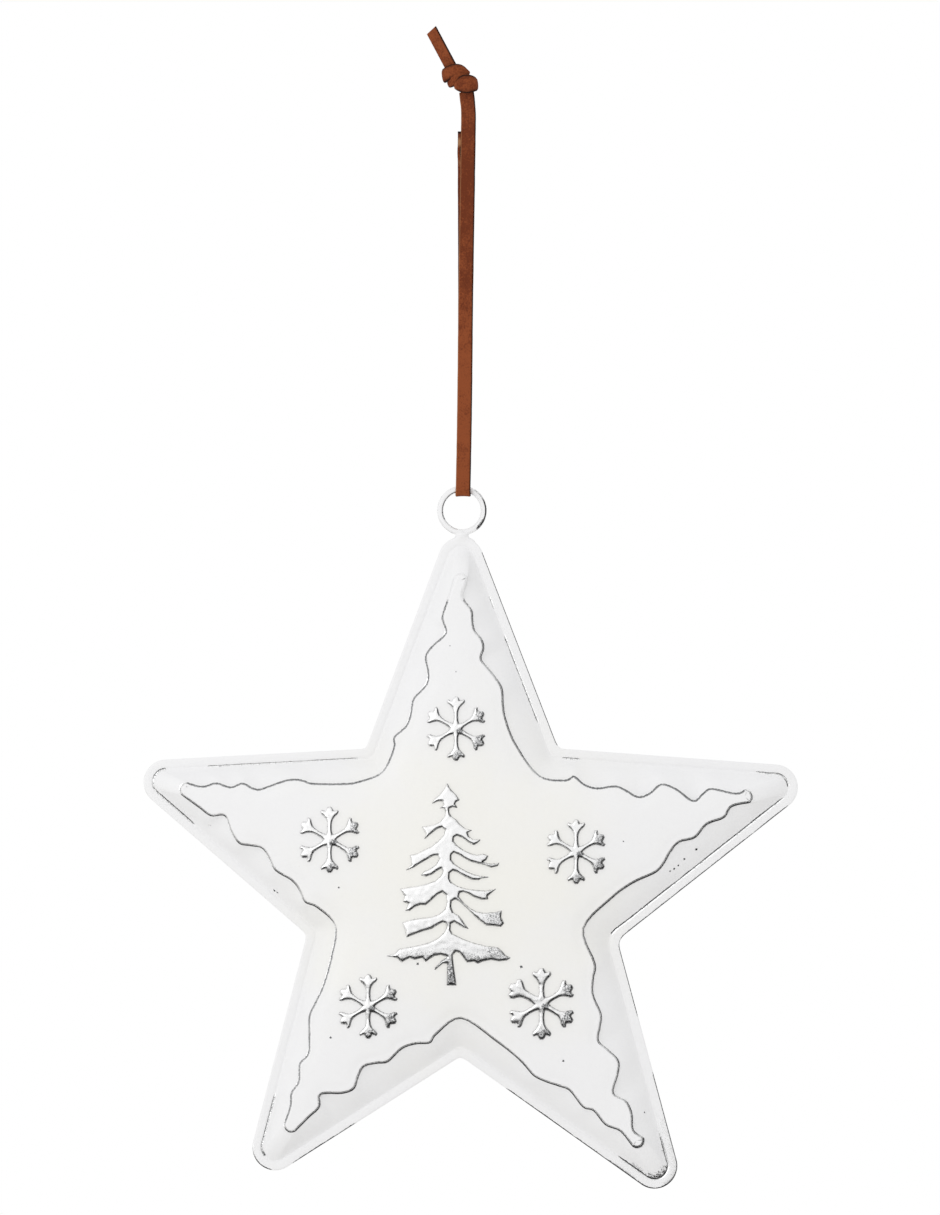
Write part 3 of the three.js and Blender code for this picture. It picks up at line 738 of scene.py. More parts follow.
def seal(bm: Mesh, gap: float) -> None:
    """Joins corners closer than gap millimetres, fills open ends and turns the faces outward."""
    bmesh.ops.remove_doubles(bm, verts=bm.verts, dist=gap * MM)
    bmesh.ops.holes_fill(bm, edges=[e for e in bm.edges if e.is_boundary])
    bmesh.ops.recalc_face_normals(bm, faces=bm.faces)


def face_toward(bm: Mesh, side: int) -> None:
    """Turns the faces of an open sheet toward -Y or +Y."""
    bmesh.ops.recalc_face_normals(bm, faces=bm.faces)
    if sum(f.normal.y * f.calc_area() for f in bm.faces) * side < 0:
        bmesh.ops.reverse_faces(bm, faces=bm.faces)


def on_face(face: BVHTree, x: float, z: float) -> tuple[Vector, Vector]:
    """The point of the star's face at x and z in metres, and the face's normal there."""
    hit, normal, _, _ = face.ray_cast(Vector((x, -0.05, z)), Vector((0, 1, 0)))
    return hit, normal


def put(name: str, data: bpy.types.ID) -> bpy.types.Object:
    """Puts an object with that data into the scene."""
    made = bpy.data.objects.new(name, data)
    bpy.context.scene.collection.objects.link(made)
    return made


def fade(value: Numbers, low: float, high: float) -> Numbers:
    """0 below low, 1 above high and smooth between them."""
    share = np.clip((value - low) / (high - low), 0, 1)
    return share**2 * (3 - 2 * share)


def closed_round(grid: Numbers) -> Numbers:
    """Repeats the first column after the last one."""
    return np.concatenate([grid, grid[:, :1]], axis=1)


class Piece:
    """A visible piece: a mesh, its materials, and what it stands for in the frame."""

    masks: tuple[str, ...] = ()
    smooth_angle = 180.0

    def __init__(self, name: str, body: str, slot: str, materials: Sequence[Material]) -> None:
        """Notes what the piece is called, what it rides on and what it is made of.

        Args:
            name: the piece's name.
            body: the body that it rides on.
            slot: the frame's slot for its material; not used.
            materials: its materials in order.
        """
        self.name = name
        self.body = body
        self.slot = slot
        self.materials = materials

    def shape(self, bm: Mesh) -> None:
        """Fills the mesh."""
        raise NotImplementedError

    def build(self, replaces: Sequence[str] = ()) -> bpy.types.Object:
        """Makes the object and ties it to its body.

        Args:
            replaces: the frame's nodes that this piece stands for.

        Returns:
            The new object.
        """
        bm = bmesh.new()
        for mask in self.masks:
            bm.verts.layers.float.new(mask)
        self.shape(bm)
        mesh = bpy.data.meshes.new(self.name)
        bm.to_mesh(mesh)
        bm.free()
        for polygon in mesh.polygons:
            polygon.use_smooth = True
        if self.smooth_angle < 180:
            mesh.set_sharp_from_angle(angle=math.radians(self.smooth_angle))
        for material in self.materials:
            mesh.materials.append(material)
        made = put(self.name, mesh)
        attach(made, self.body)
        if replaces:
            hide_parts(*replaces)
        log.info("%s: %d faces", self.name, len(mesh.polygons))
        return made


class Crown:
    """The swell of the star's middle, like a skin that is held along the wavy step and blown up."""

    cell = 1.0
    rounds = 2500
    fullness = 0.8
    ease = 2.5

    def __init__(self, edge: Line, size: StarSize) -> None:
        """Blows up the skin over a grid of cells.

        Args:
            edge: the top of the wavy step, one point to a row.
            size: the star's sizes.
        """
        self.edge = edge
        self.size = size
        self.low = edge.min(axis=0) - 2 * self.cell
        spans = [int(n) + 4 for n in np.ptp(edge, axis=0) / self.cell]
        spots = np.stack(np.meshgrid(*(np.arange(n) for n in spans), indexing="ij"), axis=-1)
        points = self.low + spots.reshape(-1, 2) * self.cell
        inside = (depth_in_outline(edge, points) > 0).reshape(spans)
        height = np.zeros(spans)
        for _ in range(self.rounds):
            around = np.roll(height, 1, 0) + np.roll(height, -1, 0)
            around += np.roll(height, 1, 1) + np.roll(height, -1, 1)
            height = inside * (around / 4 + 1)
        self.share = height / height.max()

    def rise_at(self, points: Line) -> Numbers:
        """How far the face stands above the step's top at each point.

        Args:
            points: the points, one to a row.

        Returns:
            Each point's rise in millimetres.
        """
        spot = (points - self.low) / self.cell
        base = np.floor(spot).astype(int)
        u, v = (spot - base).T
        i, j = base.T
        share = (self.share[i, j] * (1 - u) + self.share[i + 1, j] * u) * (1 - v)
        share += (self.share[i, j + 1] * (1 - u) + self.share[i + 1, j + 1] * u) * v
        eased = fade(depth_in_outline(self.edge, points), 0, self.ease)
        return self.size.crown_rise * share**self.fullness * eased


class StarPlan:
    """The lines of the star as seen from the front, about its own centre, in millimetres."""

    step_width = 0.8
    stretch_fade = 0.04
    stretch_end_share = 0.8
    notch_share = 0.03
    notch_rounds = 5

    def __init__(self, size: StarSize) -> None:
        """Sets the stations round the star and its crown.

        Args:
            size: the star's sizes.
        """
        self.size = size
        self.stations: list[Station] = []
        self.counts: list[int] = []
        steps = size.wave_steps
        for k, ripples in enumerate(RIPPLES):
            self._note(k, BEFORE, [share for share, _ in ripples.before], steps)
            self._note(k, TIP, list(np.linspace(1, 0, size.tip_steps)), 1)
            self.counts[-1] = steps
            self._note(k, AFTER, [share for share, _ in reversed(ripples.after)] + [0.0], steps)
        self.fine = self._fine_stations()
        self.crown = Crown(self.inward(self.wave(), self.step_width), size)

    def _note(self, arm: int, part: Part, shares: Sequence[float], count: int) -> None:
        """Adds stations, each with count steps to the next one."""
        self.stations += [(arm, part, share) for share in shares]
        self.counts += [count] * len(shares)

    def _fine_stations(self) -> list[Station]:
        """The stations between the measured ones.

        Returns:
            The stations in their order round the star.
        """
        made = []
        for i, (arm, part, share) in enumerate(self.stations):
            next_arm, next_part, goal = self.stations[(i + 1) % len(self.stations)]
            if part is BEFORE and next_part is TIP:
                goal = 1.0
            elif part is TIP and next_part is AFTER:
                part, share = AFTER, 1.0
            elif part is AFTER and next_part is BEFORE:
                arm, part = next_arm, BEFORE
            steps = np.arange(self.counts[i]) / self.counts[i]
            made += [(arm, part, share + (goal - share) * t) for t in steps]
        return made

    @staticmethod
    def notch_of(arm: int, part: Part) -> Notch:
        """The notch at the foot of that edge of the arm."""
        return NOTCHES[arm - 1 if part is BEFORE else arm]

    def edge_point(self, arm: int, part: Part, share: float, inset: float) -> Line:
        """A point on an arm's side.

        Args:
            arm: the arm's number.
            part: the edge before or after the tip.
            share: how far along the straight edge it lies, from the notch to the tip.
            inset: how far in from the edge it lies.

        Returns:
            The point.
        """
        notch = self.notch_of(arm, part)
        side = 1 if part is BEFORE else -1
        start = polar(notch.degrees, notch.radius)
        to_tip = polar(ARMS[arm].degrees, ARMS[arm].reach - self.size.tip_radius) - start
        far = float(np.hypot(*to_tip))
        turn = side * math.asin(self.size.tip_radius / far)
        c, s = math.cos(turn), math.sin(turn)
        along = np.array([c * to_tip[0] - s * to_tip[1], s * to_tip[0] + c * to_tip[1]]) / far
        inward = side * np.array([along[1], -along[0]])
        length = math.sqrt(far**2 - self.size.tip_radius**2)
        return start + along * share * length + inward * inset

    def _line(self, on_edge: Callable, on_tip: Callable, on_notch: Callable) -> Line:
        """A closed line with a point for each station.

        Args:
            on_edge: makes the point for an arm, a part, a share and the wavy step's distance in.
            on_tip: makes the point for an arm and a turn from -1 to 1 round its tip.
            on_notch: makes the point for a notch.

        Returns:
            The points, one to a row.
        """
        insets = {}
        for k, ripples in enumerate(RIPPLES):
            insets |= {(k, BEFORE, share): wave for share, wave in ripples.before}
            insets |= {(k, AFTER, share): wave for share, wave in ripples.after}
        made = []
        for arm, part, share in self.stations:
            if part is TIP:
                made.append(on_tip(ARMS[arm], 2 * share - 1))
            elif share == 0.0:
                made.append(on_notch(NOTCHES[arm]))
            else:
                made.append(on_edge(arm, part, share, insets[arm, part, share]))
        return np.array(made)

    def parallel(self, distance: float) -> Line:
        """The line that keeps one distance from the rim's edge.

        Args:
            distance: how far in from the edge it runs.

        Returns:
            The line's points.
        """
        size = self.size
        line = self._line(
            lambda arm, part, share, wave: self.edge_point(arm, part, share, distance),
            lambda arm, turn: polar(arm.degrees, arm.reach - size.tip_radius)
            + polar(arm.degrees + size.tip_turn * turn, size.tip_radius - distance),
            lambda notch: polar(notch.degrees, notch.radius - distance * size.notch_stretch),
        )
        made = straight_through(line, self.counts)
        near = np.array(
            [part is not TIP and share < self.notch_share for _, part, share in self.fine]
        )
        for _ in range(self.notch_rounds):
            middle = (np.roll(made, 1, axis=0) + np.roll(made, -1, axis=0)) / 2
            made = np.where(near[:, None], (made + middle) / 2, made)
        return made

    def ridge_end(self, arm: Arm) -> float:
        """How far out the arm's soft ridge runs."""
        return arm.reach - arm.shortfall - self.size.bulb_radius

    def wave(self) -> Line:
        """The foot of the wavy step.

        Returns:
            The line's points.
        """
        size = self.size
        line = self._line(
            lambda arm, part, share, wave: self.edge_point(arm, part, share, wave),
            lambda arm, turn: polar(arm.degrees, self.ridge_end(arm))
            + polar(arm.degrees + size.tip_turn * turn, size.bulb_radius),
            lambda notch: polar(notch.degrees, notch.radius - notch.bay),
        )
        return smooth_through(line, self.counts, True)

    @staticmethod
    def inward(line: Line, distance: float) -> Line:
        """The line moved in across itself."""
        along = np.roll(line, -1, axis=0) - np.roll(line, 1, axis=0)
        along /= np.linalg.norm(along, axis=1, keepdims=True)
        return line + distance * np.stack([along[:, 1], -along[:, 0]], axis=1)

    def ridge(self, wave: Line) -> Line:
        """The point on the arms' middle lines that each station faces.

        Args:
            wave: the foot of the wavy step.

        Returns:
            A point for each point of the step.
        """
        size = self.size
        places = []
        for (arm, part, _), point in zip(self.fine, wave):
            end = self.ridge_end(ARMS[arm])
            axis = polar(ARMS[arm].degrees, 1.0)
            notch = self.notch_of(arm, part)
            start = float(polar(notch.degrees, notch.radius - notch.bay) @ axis)
            out = float(point @ axis)
            out *= min(max((out - start) / size.ridge_bend, 0.0), 1.0)
            share = 1.0 if part is TIP else min(out / end, 1.0)
            share = round(share * size.ridge_steps) / size.ridge_steps
            places.append(share * end * axis)
        return np.array(places)

    def wear_and_shade(self, stretches: Sequence[WearAndShade]) -> Numbers:
        """How much tin shows at each station, from wear and from painted shade.

        Args:
            stretches: the stretches of wear and of painted shade.

        Returns:
            A number for each fine station, fading at the ends of the stretches.
        """
        made = np.zeros(len(self.fine))
        for i, (arm, part, share) in enumerate(self.fine):
            for stretch in stretches:
                if (stretch.arm, stretch.part) != (arm, part):
                    continue
                inside = min(share - stretch.start, stretch.end - share)
                full = min(max(0.5 + inside / self.stretch_fade, 0.0), 1.0)
                if inside >= -1e-6 and (stretch.start <= 0 or stretch.end >= 1):
                    full = max(full, self.stretch_end_share)
                made[i] = max(made[i], full * stretch.strength)
        return made


class StarHalf(Piece):
    """One pressed half of the star, from the joint between the rims to its crown."""

    masks = ("wear_and_shade",)
    dent_seed = 7.3

    def __init__(self, name: str, plan: StarPlan, side: int, material: Material) -> None:
        """Takes the lines and the side that the half bulges to.

        Args:
            name: the piece's name.
            plan: the star's lines.
            side: -1 for the half in front and 1 for the half behind.
            material: its finish.
        """
        super().__init__(name, "star", "tin", [material])
        self.plan = plan
        self.side = side

    def profile(self) -> tuple[Line, Numbers, Numbers]:
        """The half's rows of points, from the joint to the middle.

        Returns:
            The rows in plan, their heights and how worn they are.
        """
        plan, size = self.plan, self.plan.size
        count = len(plan.fine)
        tables = (RIM_WEAR_AND_SHADE, CREASE_WEAR, STEP_WEAR, FLANGE_WEAR, SLOPE_WEAR)
        rim, crease, step, flange, slope = (plan.wear_and_shade(table) for table in tables)
        rows: list[tuple[Line, Numbers, Numbers]] = []

        def row(line: Line, height: float | Numbers, wear_and_shade: float | Numbers = 0.0) -> None:
            """Adds a row."""
            rows.append((line, np.broadcast_to(height, count), np.broadcast_to(wear_and_shade, count)))

        for inset, height, wear_and_shade in (
            (0.0, 0.0, rim), (0.0, 0.3, rim), (0.06, 0.43, rim), (0.2, 0.5, rim * 0.7),
            (0.45, 0.54, np.maximum(rim * 0.3, flange)), (0.8, 0.54, flange),
            (1.6, 0.53, flange * 0.8), (2.1, 0.48, crease * 0.3), (2.35, 0.34, crease),
            (2.6, 0.34, crease), (2.9, 0.6, np.maximum(crease * 0.4, slope)), (3.3, 0.92, slope),
        ):
            row(plan.parallel(inset), height, wear_and_shade)
        low, low_height, _ = rows[-1]
        wave = plan.wave()
        for f in (0.12, 0.26, 0.42, 0.58, 0.74, 0.88, 0.95):
            swell = f + size.slope_swell * f * (1 - f)
            height = low_height + (size.slope_top - low_height) * swell
            row(low + (wave - low) * f, height, slope * max(1 - f / 0.6, 0))
        for further, rise, share in (
            (-0.14, -0.03, 0.58), (0.0, -0.05, 0.78), (0.12, 0.18, 0.78), (0.24, 0.55, 0.75),
            (0.38, 0.88, 0.52), (0.55, 1.03, 0.15), (plan.step_width, 1.1, 0.0),
        ):
            height = size.slope_top + rise * size.step_rise
            row(plan.inward(wave, further), height, step * share)
        top, top_height, _ = rows[-1]
        ridge = plan.ridge(wave)
        for s in (0.03, 0.07, 0.12, 0.18, 0.25, 0.33, 0.42, 0.52, 0.63, 0.75, 0.87, 1.0):
            line = top + (ridge - top) * s
            row(line, top_height + plan.crown.rise_at(line))
        lines, heights, worn_and_shaded = zip(*rows)
        return np.array(lines), np.array(heights), np.array(worn_and_shaded)

    def shape(self, bm: Mesh) -> None:
        """Bends a sheet over the profile and gives it the small dents of a pressing.

        Args:
            bm: the mesh to fill.
        """
        size = self.plan.size
        lines, heights, worn_and_shaded = self.profile()
        places = np.empty((*heights.shape, 3))
        places[..., 0] = lines[..., 0] * MM
        places[..., 1] = self.side * heights * MM
        places[..., 2] = (size.centre_z + lines[..., 1]) * MM
        sheet_of(bm, closed_round(places), {"wear_and_shade": closed_round(worn_and_shaded)})
        bmesh.ops.remove_doubles(bm, verts=bm.verts, dist=0.02 * MM)
        for vert in bm.verts:
            depth = min(abs(vert.co.y) / (size.slope_top * MM), 1.0)
            spot = Vector((vert.co.x, self.dent_seed * self.side, vert.co.z))
            vert.co.y += depth * size.dent * MM * noise.noise(spot / (size.dent_width * MM))
        face_toward(bm, self.side)


class Drawing:
    """The flat drawing of a motif: the sheet that it is raised from and the steps across it."""

    box: tuple[float, float, float, float]
    step: float

    def depth(self, points: Line) -> Numbers:
        """How deep each point lies inside the motif, below 0 outside it."""
        raise NotImplementedError

    def shade_and_dullness(self, points: Line) -> Numbers:
        """How dark the tin is at each point, from dullness and painted shade."""
        raise NotImplementedError


class FirTree(Drawing):
    """The fir tree in the middle."""

    box = (-21.5, -27.8, 14.0, 28.6)
    step = 0.13

    def depth(self, points: Line) -> Numbers:
        """How deep each point lies inside the outline."""
        return depth_in_outline(np.array(TREE_FOOT) + TREE_GRID * np.array(FIR_TREE), points)

    def shade_and_dullness(self, points: Line) -> Numbers:
        """Darker on the trunk and lowest boughs, with painted shade toward the boughs' right ends.

        Args:
            points: the points.

        Returns:
            Each point's darkening, from 0 to 1.
        """
        x, z = points[..., 0], points[..., 1]
        low_bough = np.clip((-15.6 - z) / 4.5, 0, 1) * 0.5
        trunk = np.clip((-20.5 - z) / 1.5, 0, 1) * 0.6
        # Painted shade: the boughs darken toward their right ends.
        right_ends = np.clip((x - 3.4) / 4.0, 0, 1) * 0.45
        return np.maximum(np.maximum(low_bough, trunk), right_ends)


class Snowflake(Drawing):
    """Six arms from a domed hub, each ending in a crown of three points."""

    step = 0.12
    margin = 0.8
    hub = 1.45
    # One side of an arm: (share of the radius, half width).
    side = (
        (0.0, 1.05), (0.12, 0.9), (0.27, 0.54), (0.42, 0.47), (0.57, 0.58), (0.67, 0.9),
        (0.75, 1.45), (0.82, 2.1), (0.88, 2.35), (0.93, 2.1), (0.9, 1.5), (0.9, 1.0),
        (0.96, 0.75), (1.02, 0.35),
    )

    def __init__(self, x: float, z: float, radius: float, plump: float, swollen: float) -> None:
        """Places a snowflake.

        Args:
            x: how far right of the star's centre it sits.
            z: how far above it.
            radius: its radius.
            plump: how much wider than its outline it is, all round.
            swollen: how much more its upper left arm is.
        """
        self.centre = np.array([x, z])
        self.radius = radius
        self.plump = plump
        self.swollen = swollen
        far = radius + self.margin + swollen
        self.box = (x - far, z - far, x + far, z + far)

    def depth(self, points: Line) -> Numbers:
        """How deep each point lies inside the arms and the hub.

        Args:
            points: the points, one to a row.

        Returns:
            Each point's depth in millimetres.
        """
        outline = [(self.radius * u, v) for u, v in self.side]
        outline += [(self.radius * u, -v) for u, v in reversed(self.side)]
        local = points - self.centre
        made = self.hub - np.hypot(local[:, 0], local[:, 1])
        for k in range(6):
            along = polar(90 + 60 * k)
            turned = np.stack([local @ along, local @ np.array([-along[1], along[0]])], axis=1)
            arm = depth_in_outline(np.array(outline), turned)
            made = np.maximum(made, arm + (self.swollen if k == 1 else 0.0))
        return made + self.plump

    def shade_and_dullness(self, points: Line) -> Numbers:
        """Painted shade on the crowns at the right and at the bottom, and on the hub's lower right.

        Args:
            points: the points.

        Returns:
            Each point's painted shade, from 0 to 1.
        """
        away = (points - self.centre) / self.radius
        # Painted shade on the lower-right crowns and on the hub's lower right.
        crown = np.clip(np.linalg.norm(away, axis=-1) * 5 - 2.9, 0, 1)
        crowns = np.clip(away @ np.array([0.85, -0.5]) * 1.3, 0, 0.57) * crown
        hub = 1.4 - np.linalg.norm(away * self.radius - np.array([0.95, -0.8]), axis=-1)
        return np.maximum(crowns, np.clip(hub, 0, 0.65))


class Motif(Piece):
    """A pressed motif of bare tin that stands out of the star's face with rounded edges."""

    masks = ("dull_and_shade",)
    rise = 0.6
    edge_width = 0.2
    uneven = 0.06

    def __init__(self, name: str, drawing: Drawing, face: BVHTree, material: Material) -> None:
        """Takes the drawing and the face that it stands on.

        Args:
            name: the piece's name.
            drawing: the motif's flat drawing.
            face: the star's face that it stands on.
            material: its finish.
        """
        super().__init__(name, "star", "tin", [material])
        self.drawing = drawing
        self.face = face

    def dull_and_shade(self, grid: Line, depth: Numbers) -> Numbers:
        """How dark each point is: painted shade round the edge, most on the sides facing right
        and down.

        Args:
            grid: the sheet's points.
            depth: how deep each of them lies inside the motif.

        Returns:
            Each point's darkening, from 0 to 1.
        """
        # Painted shade: the edge darkens all round, most where it faces right and down.
        fall_z, fall_x = np.gradient(-depth, self.drawing.step)
        shaded = np.clip(0.4 + 0.6 * (0.85 * fall_x - 0.5 * fall_z), 0, 1)
        outline = np.clip(1.3 - depth / (0.16 + 0.26 * shaded), 0, 1) * (0.44 + 0.42 * shaded)
        return np.maximum(outline, self.drawing.shade_and_dullness(grid))

    def shape(self, bm: Mesh) -> None:
        """Raises a fine sheet where it lies inside the motif and trims the rest away.

        Args:
            bm: the mesh to fill.
        """
        low_x, low_z, high_x, high_z = self.drawing.box
        step = self.drawing.step
        grid = np.stack(
            np.meshgrid(np.arange(low_x, high_x, step), np.arange(low_z, high_z, step)), axis=-1
        )
        depth = self.drawing.depth(grid.reshape(-1, 2)).reshape(grid.shape[:2])
        rounded = 1 - np.exp(-np.maximum(depth, 0) / self.edge_width)
        lift = np.where(depth > 0, self.rise * rounded, depth * 1.2)
        places = np.zeros((*depth.shape, 3))
        places[..., 0] = grid[..., 0] * MM
        places[..., 1] = depth
        places[..., 2] = (StarSize.centre_z + grid[..., 1]) * MM
        lifts = {}
        for x, z, up in zip(places[..., 0].flat, places[..., 2].flat, lift.flat):
            lifts[round(x, 7), round(z, 7)] = up
        sheet_of(bm, places, {"dull_and_shade": self.dull_and_shade(grid, depth)})
        outside = [v for v in bm.verts if v.co.y < -2.2 * step]
        bmesh.ops.delete(bm, geom=outside, context="VERTS")
        for vert in bm.verts:
            x, _, z = vert.co
            up = lifts[round(x, 7), round(z, 7)]
            if up > 0.2:
                up += self.uneven * noise.noise(Vector((x, 0.0, z)) / (1.5 * MM))
            vert.co.y = on_face(self.face, x, z)[0].y - up * MM
        face_toward(bm, -1)


class Chips(Piece):
    """Specks where the paint has chipped off down to dull tin."""

    masks = ("dull_and_shade",)

    def __init__(self, face: BVHTree, material: Material) -> None:
        """Takes the face that the chips lie on."""
        super().__init__("paint_chips", "star", "tin", [material])
        self.face = face

    def shape(self, bm: Mesh) -> None:
        """Lays a ragged round speck on the face at each place.

        Args:
            bm: the mesh to fill.
        """
        dull_and_shade = bm.verts.layers.float["dull_and_shade"]
        for x, z, radius in CHIPS:
            hit, normal = on_face(self.face, x * MM, (StarSize.centre_z + z) * MM)
            turn = normal.to_track_quat("Z", "Y").to_matrix().to_4x4()
            place = Matrix.Translation(hit + normal * 0.02 * MM) @ turn
            made = bmesh.ops.create_circle(
                bm, cap_ends=True, radius=radius * MM, segments=9, matrix=place
            )
            for k, vert in enumerate(made["verts"]):
                vert.co = hit + (vert.co - hit) * (1 + 0.35 * math.sin(2.7 * k + 40 * x))
                vert[dull_and_shade] = 1.0


class WireRing(Piece):
    """The ring of wire that the lace goes through."""

    masks = ("wear_and_shade",)

    def __init__(self, size: RingSize, material: Material) -> None:
        """Takes the ring's sizes."""
        super().__init__("ring_wire", "star", "wire", [material])
        self.size = size

    def shape(self, bm: Mesh) -> None:
        """Sweeps the wire's round section in a circle; tin shows through its paint from wear and as
        painted dark reflections along the wire's edges.

        Args:
            bm: the mesh to fill.
        """
        size = self.size
        turns, rolls = (np.linspace(0, 2 * np.pi, steps + 1) for steps in (160, 20))
        turn, roll = np.meshgrid(turns, rolls, indexing="ij")
        far = size.radius + size.wire / 2 * np.cos(roll)
        places = np.stack(
            [far * np.cos(turn), size.wire / 2 * np.sin(roll), size.centre_z + far * np.sin(turn)],
            axis=-1,
        )
        out = np.cos(roll)
        # Tin shows here from wear and as painted dark reflections along the wire's edges.
        worn_and_shaded = [
            self.arc(turn, 5, 57) * fade(out, 0.25, 0.7) * 1.15,
            self.arc(turn, -36, 14) * fade(out, -0.3, 0.1) * 1.3,
            self.arc(turn, 182, 76) * fade(-out, 0.35, 0.75) * 0.85,
            self.arc(turn, 195, 60) * fade(out, 0.7, 0.95) * 0.8,
        ]
        sheet_of(bm, places * MM, {"wear_and_shade": np.max(worn_and_shaded, axis=0)})
        seal(bm, 0.01)

    @staticmethod
    def arc(turn: Numbers, middle: float, half: float) -> Numbers:
        """1 within half of middle round the ring, in degrees, fading out beyond it."""
        away = np.abs((np.degrees(turn) - middle + 180) % 360 - 180)
        return fade(half - away, -5, 5)


class Solder(Piece):
    """The painted neck of solder between the ring and the star's top tip."""

    masks = ("wear_and_shade",)

    def __init__(self, size: RingSize, material: Material) -> None:
        """Takes the sizes of the ring that it holds."""
        super().__init__("solder_neck", "star", "wire", [material])
        self.size = size

    def shape(self, bm: Mesh) -> None:
        """Turns a waisted outline of (half width, half depth, height), which thins out below.

        Args:
            bm: the mesh to fill.
        """
        size = self.size
        middle = size.centre_z - size.radius - size.wire / 2 - 0.2
        outline = (
            (0.3, 0.3, 1.3), (1.1, 0.8, 1.15), (1.75, 1.15, 0.75), (1.8, 1.2, 0.35),
            (1.75, 1.1, 0.0), (2.1, 0.95, -0.45), (2.9, 0.78, -0.9), (3.4, 0.64, -1.4),
            (3.4, 0.5, -2.0), (0.2, 0.3, -2.4),
        )
        line = smooth_through(np.array(outline), [4] * len(outline), False)
        across, through, up = (line[:, k : k + 1] for k in range(3))
        turns = np.linspace(0, 2 * np.pi, 49)
        places = np.stack(
            [across * np.cos(turns), through * np.sin(turns), middle + up + 0 * turns], axis=-1
        )
        sheet_of(bm, places * MM, {"wear_and_shade": np.zeros(places.shape[:2])})
        seal(bm, 0.01)


@dataclass
class Ribbon:
    """A flat strip of leather along a route, with its width along across at each point."""

    route: Line
    across: Line
    width: float
    thickness: float
    closed: bool = False
    pinch: tuple[float, float] = (0.0, 0.0)
    cup: float = 0.0
    edge: float = 0.1

    columns = (-1.0, -0.98, -0.92, -0.8, -0.5, -0.25, 0.0, 0.25, 0.5, 0.8, 0.92, 0.98, 1.0)

    def section(self, row: int) -> list[tuple[float, float, float]]:
        """The strip's section at one row.

        Args:
            row: the row's number along the route.

        Returns:
            The places across and through the strip, and how near an edge each of them is.
        """
        side = math.cos(2 * math.pi * row / len(self.route))
        w = self.width / 2 * (1 - self.pinch[side > 0] * side**2)
        points = []
        for face in (1, -1):
            for u in self.columns[::face]:
                near = min(max(0.0, 1.4 * ((abs(u) - 1) / self.edge + 1)), 1.0)
                round_off = self.thickness / 2 * (1 - near**2 * 0.5)
                points.append((u * w, face * round_off + self.cup * (1 - u * u), near))
        return points

    def frames(self) -> list[tuple[Vector, Vector, Vector]]:
        """The place, the width's direction and the face's direction at each point.

        Returns:
            One set for each point of the route.
        """
        made = []
        n = len(self.route)
        for i, point in enumerate(self.route):
            before = self.route[(i - 1) % n if self.closed else max(i - 1, 0)]
            after = self.route[(i + 1) % n if self.closed else min(i + 1, n - 1)]
            along = Vector(after - before).normalized()
            side = Vector(self.across[i])
            side = (side - along * side.dot(along)).normalized()
            made.append((Vector(point), side, along.cross(side)))
        return made

    def shape(self, bm: Mesh, seed: float) -> None:
        """Bends a sheet round the strip's section and closes its ends.

        Args:
            bm: the mesh to add the strip to.
            seed: picks the strip's own uneven width.
        """
        rows, edges = [], []
        for i, (point, side, face) in enumerate(self.frames()):
            loose = 1 + 0.02 * noise.noise(Vector((seed, seed, point.z * 400)))
            section = self.section(i)
            rows.append([point + side * u * loose * MM + face * v * MM for u, v, _ in section])
            edges.append([edge for _, _, edge in section])
        if self.closed:
            rows.append(rows[0])
            edges.append(edges[0])
        sheet_of(bm, closed_round(np.array(rows)), {"edge": closed_round(np.array(edges))})
        seal(bm, 0.005)


def bight(size: LaceSize, side: int) -> Line:
    """Half of the bend that carries the ring, from its lowest point up.

    Args:
        size: the lace's sizes.
        side: -1 for the front leg's half and 1 for the rear leg's.

    Returns:
        The points of its middle line in metres.
    """
    turns = np.radians(np.arange(0, 90, 6))
    x = np.full(len(turns), size.bight_x)
    y = side * size.bight_radius * np.sin(turns)
    z = size.wire_z - size.bight_radius * np.cos(turns)
    return np.stack([x, y, z], axis=1) * MM


class LaceLeg(Piece):
    """One leg of the lace, from the bight in the ring up. The front one's left edge has a painted
    highlight instead of a dark edge.
    """

    masks = ("edge", "raw_and_highlight")
    smooth_angle = 50.0
    left_edge_highlight = 0.25

    def __init__(
        self, name: str, size: LaceSize, side: int, route: Sequence, materials: Sequence
    ) -> None:
        """Lays out the leg's route.

        Args:
            name: the piece's name.
            size: the lace's sizes.
            side: -1 for the front leg and 1 for the rear one.
            route: the middle line's points above the bight, in metres.
            materials: its materials in order.
        """
        super().__init__(name, "lace", "lace", materials)
        self.size = size
        self.front = side < 0
        free = smooth_through(np.array(route), [12] * len(route), False)
        self.route = np.concatenate([bight(size, side), free])

    def path(self) -> list[tuple[float, float, float]]:
        """The leg's middle line."""
        return [tuple(float(v) for v in point) for point in self.route]

    def length(self) -> float:
        """The length of the middle line."""
        return float(np.linalg.norm(np.diff(self.route, axis=0), axis=1).sum())

    def shape(self, bm: Mesh) -> None:
        """Lays the strip along the route.

        Args:
            bm: the mesh to fill.
        """
        lean = math.radians(self.size.lean)
        across = np.tile([math.cos(lean), -math.sin(lean), 0.0], (len(self.route), 1))
        strip = Ribbon(self.route, across, self.size.width, self.size.thickness)
        strip.shape(bm, seed=3.1)
        edge, raw_and_highlight = (bm.verts.layers.float[name] for name in self.masks)
        for vert in bm.verts:
            middle = np.interp(vert.co.z, self.route[:, 2], self.route[:, 0])
            # Painted highlight on the front leg's left edge; the right edge stays dark as shade.
            if self.front and vert.co.x - middle < -0.42 * self.size.width * MM:
                vert[edge] = 0.0
                vert[raw_and_highlight] = self.left_edge_highlight


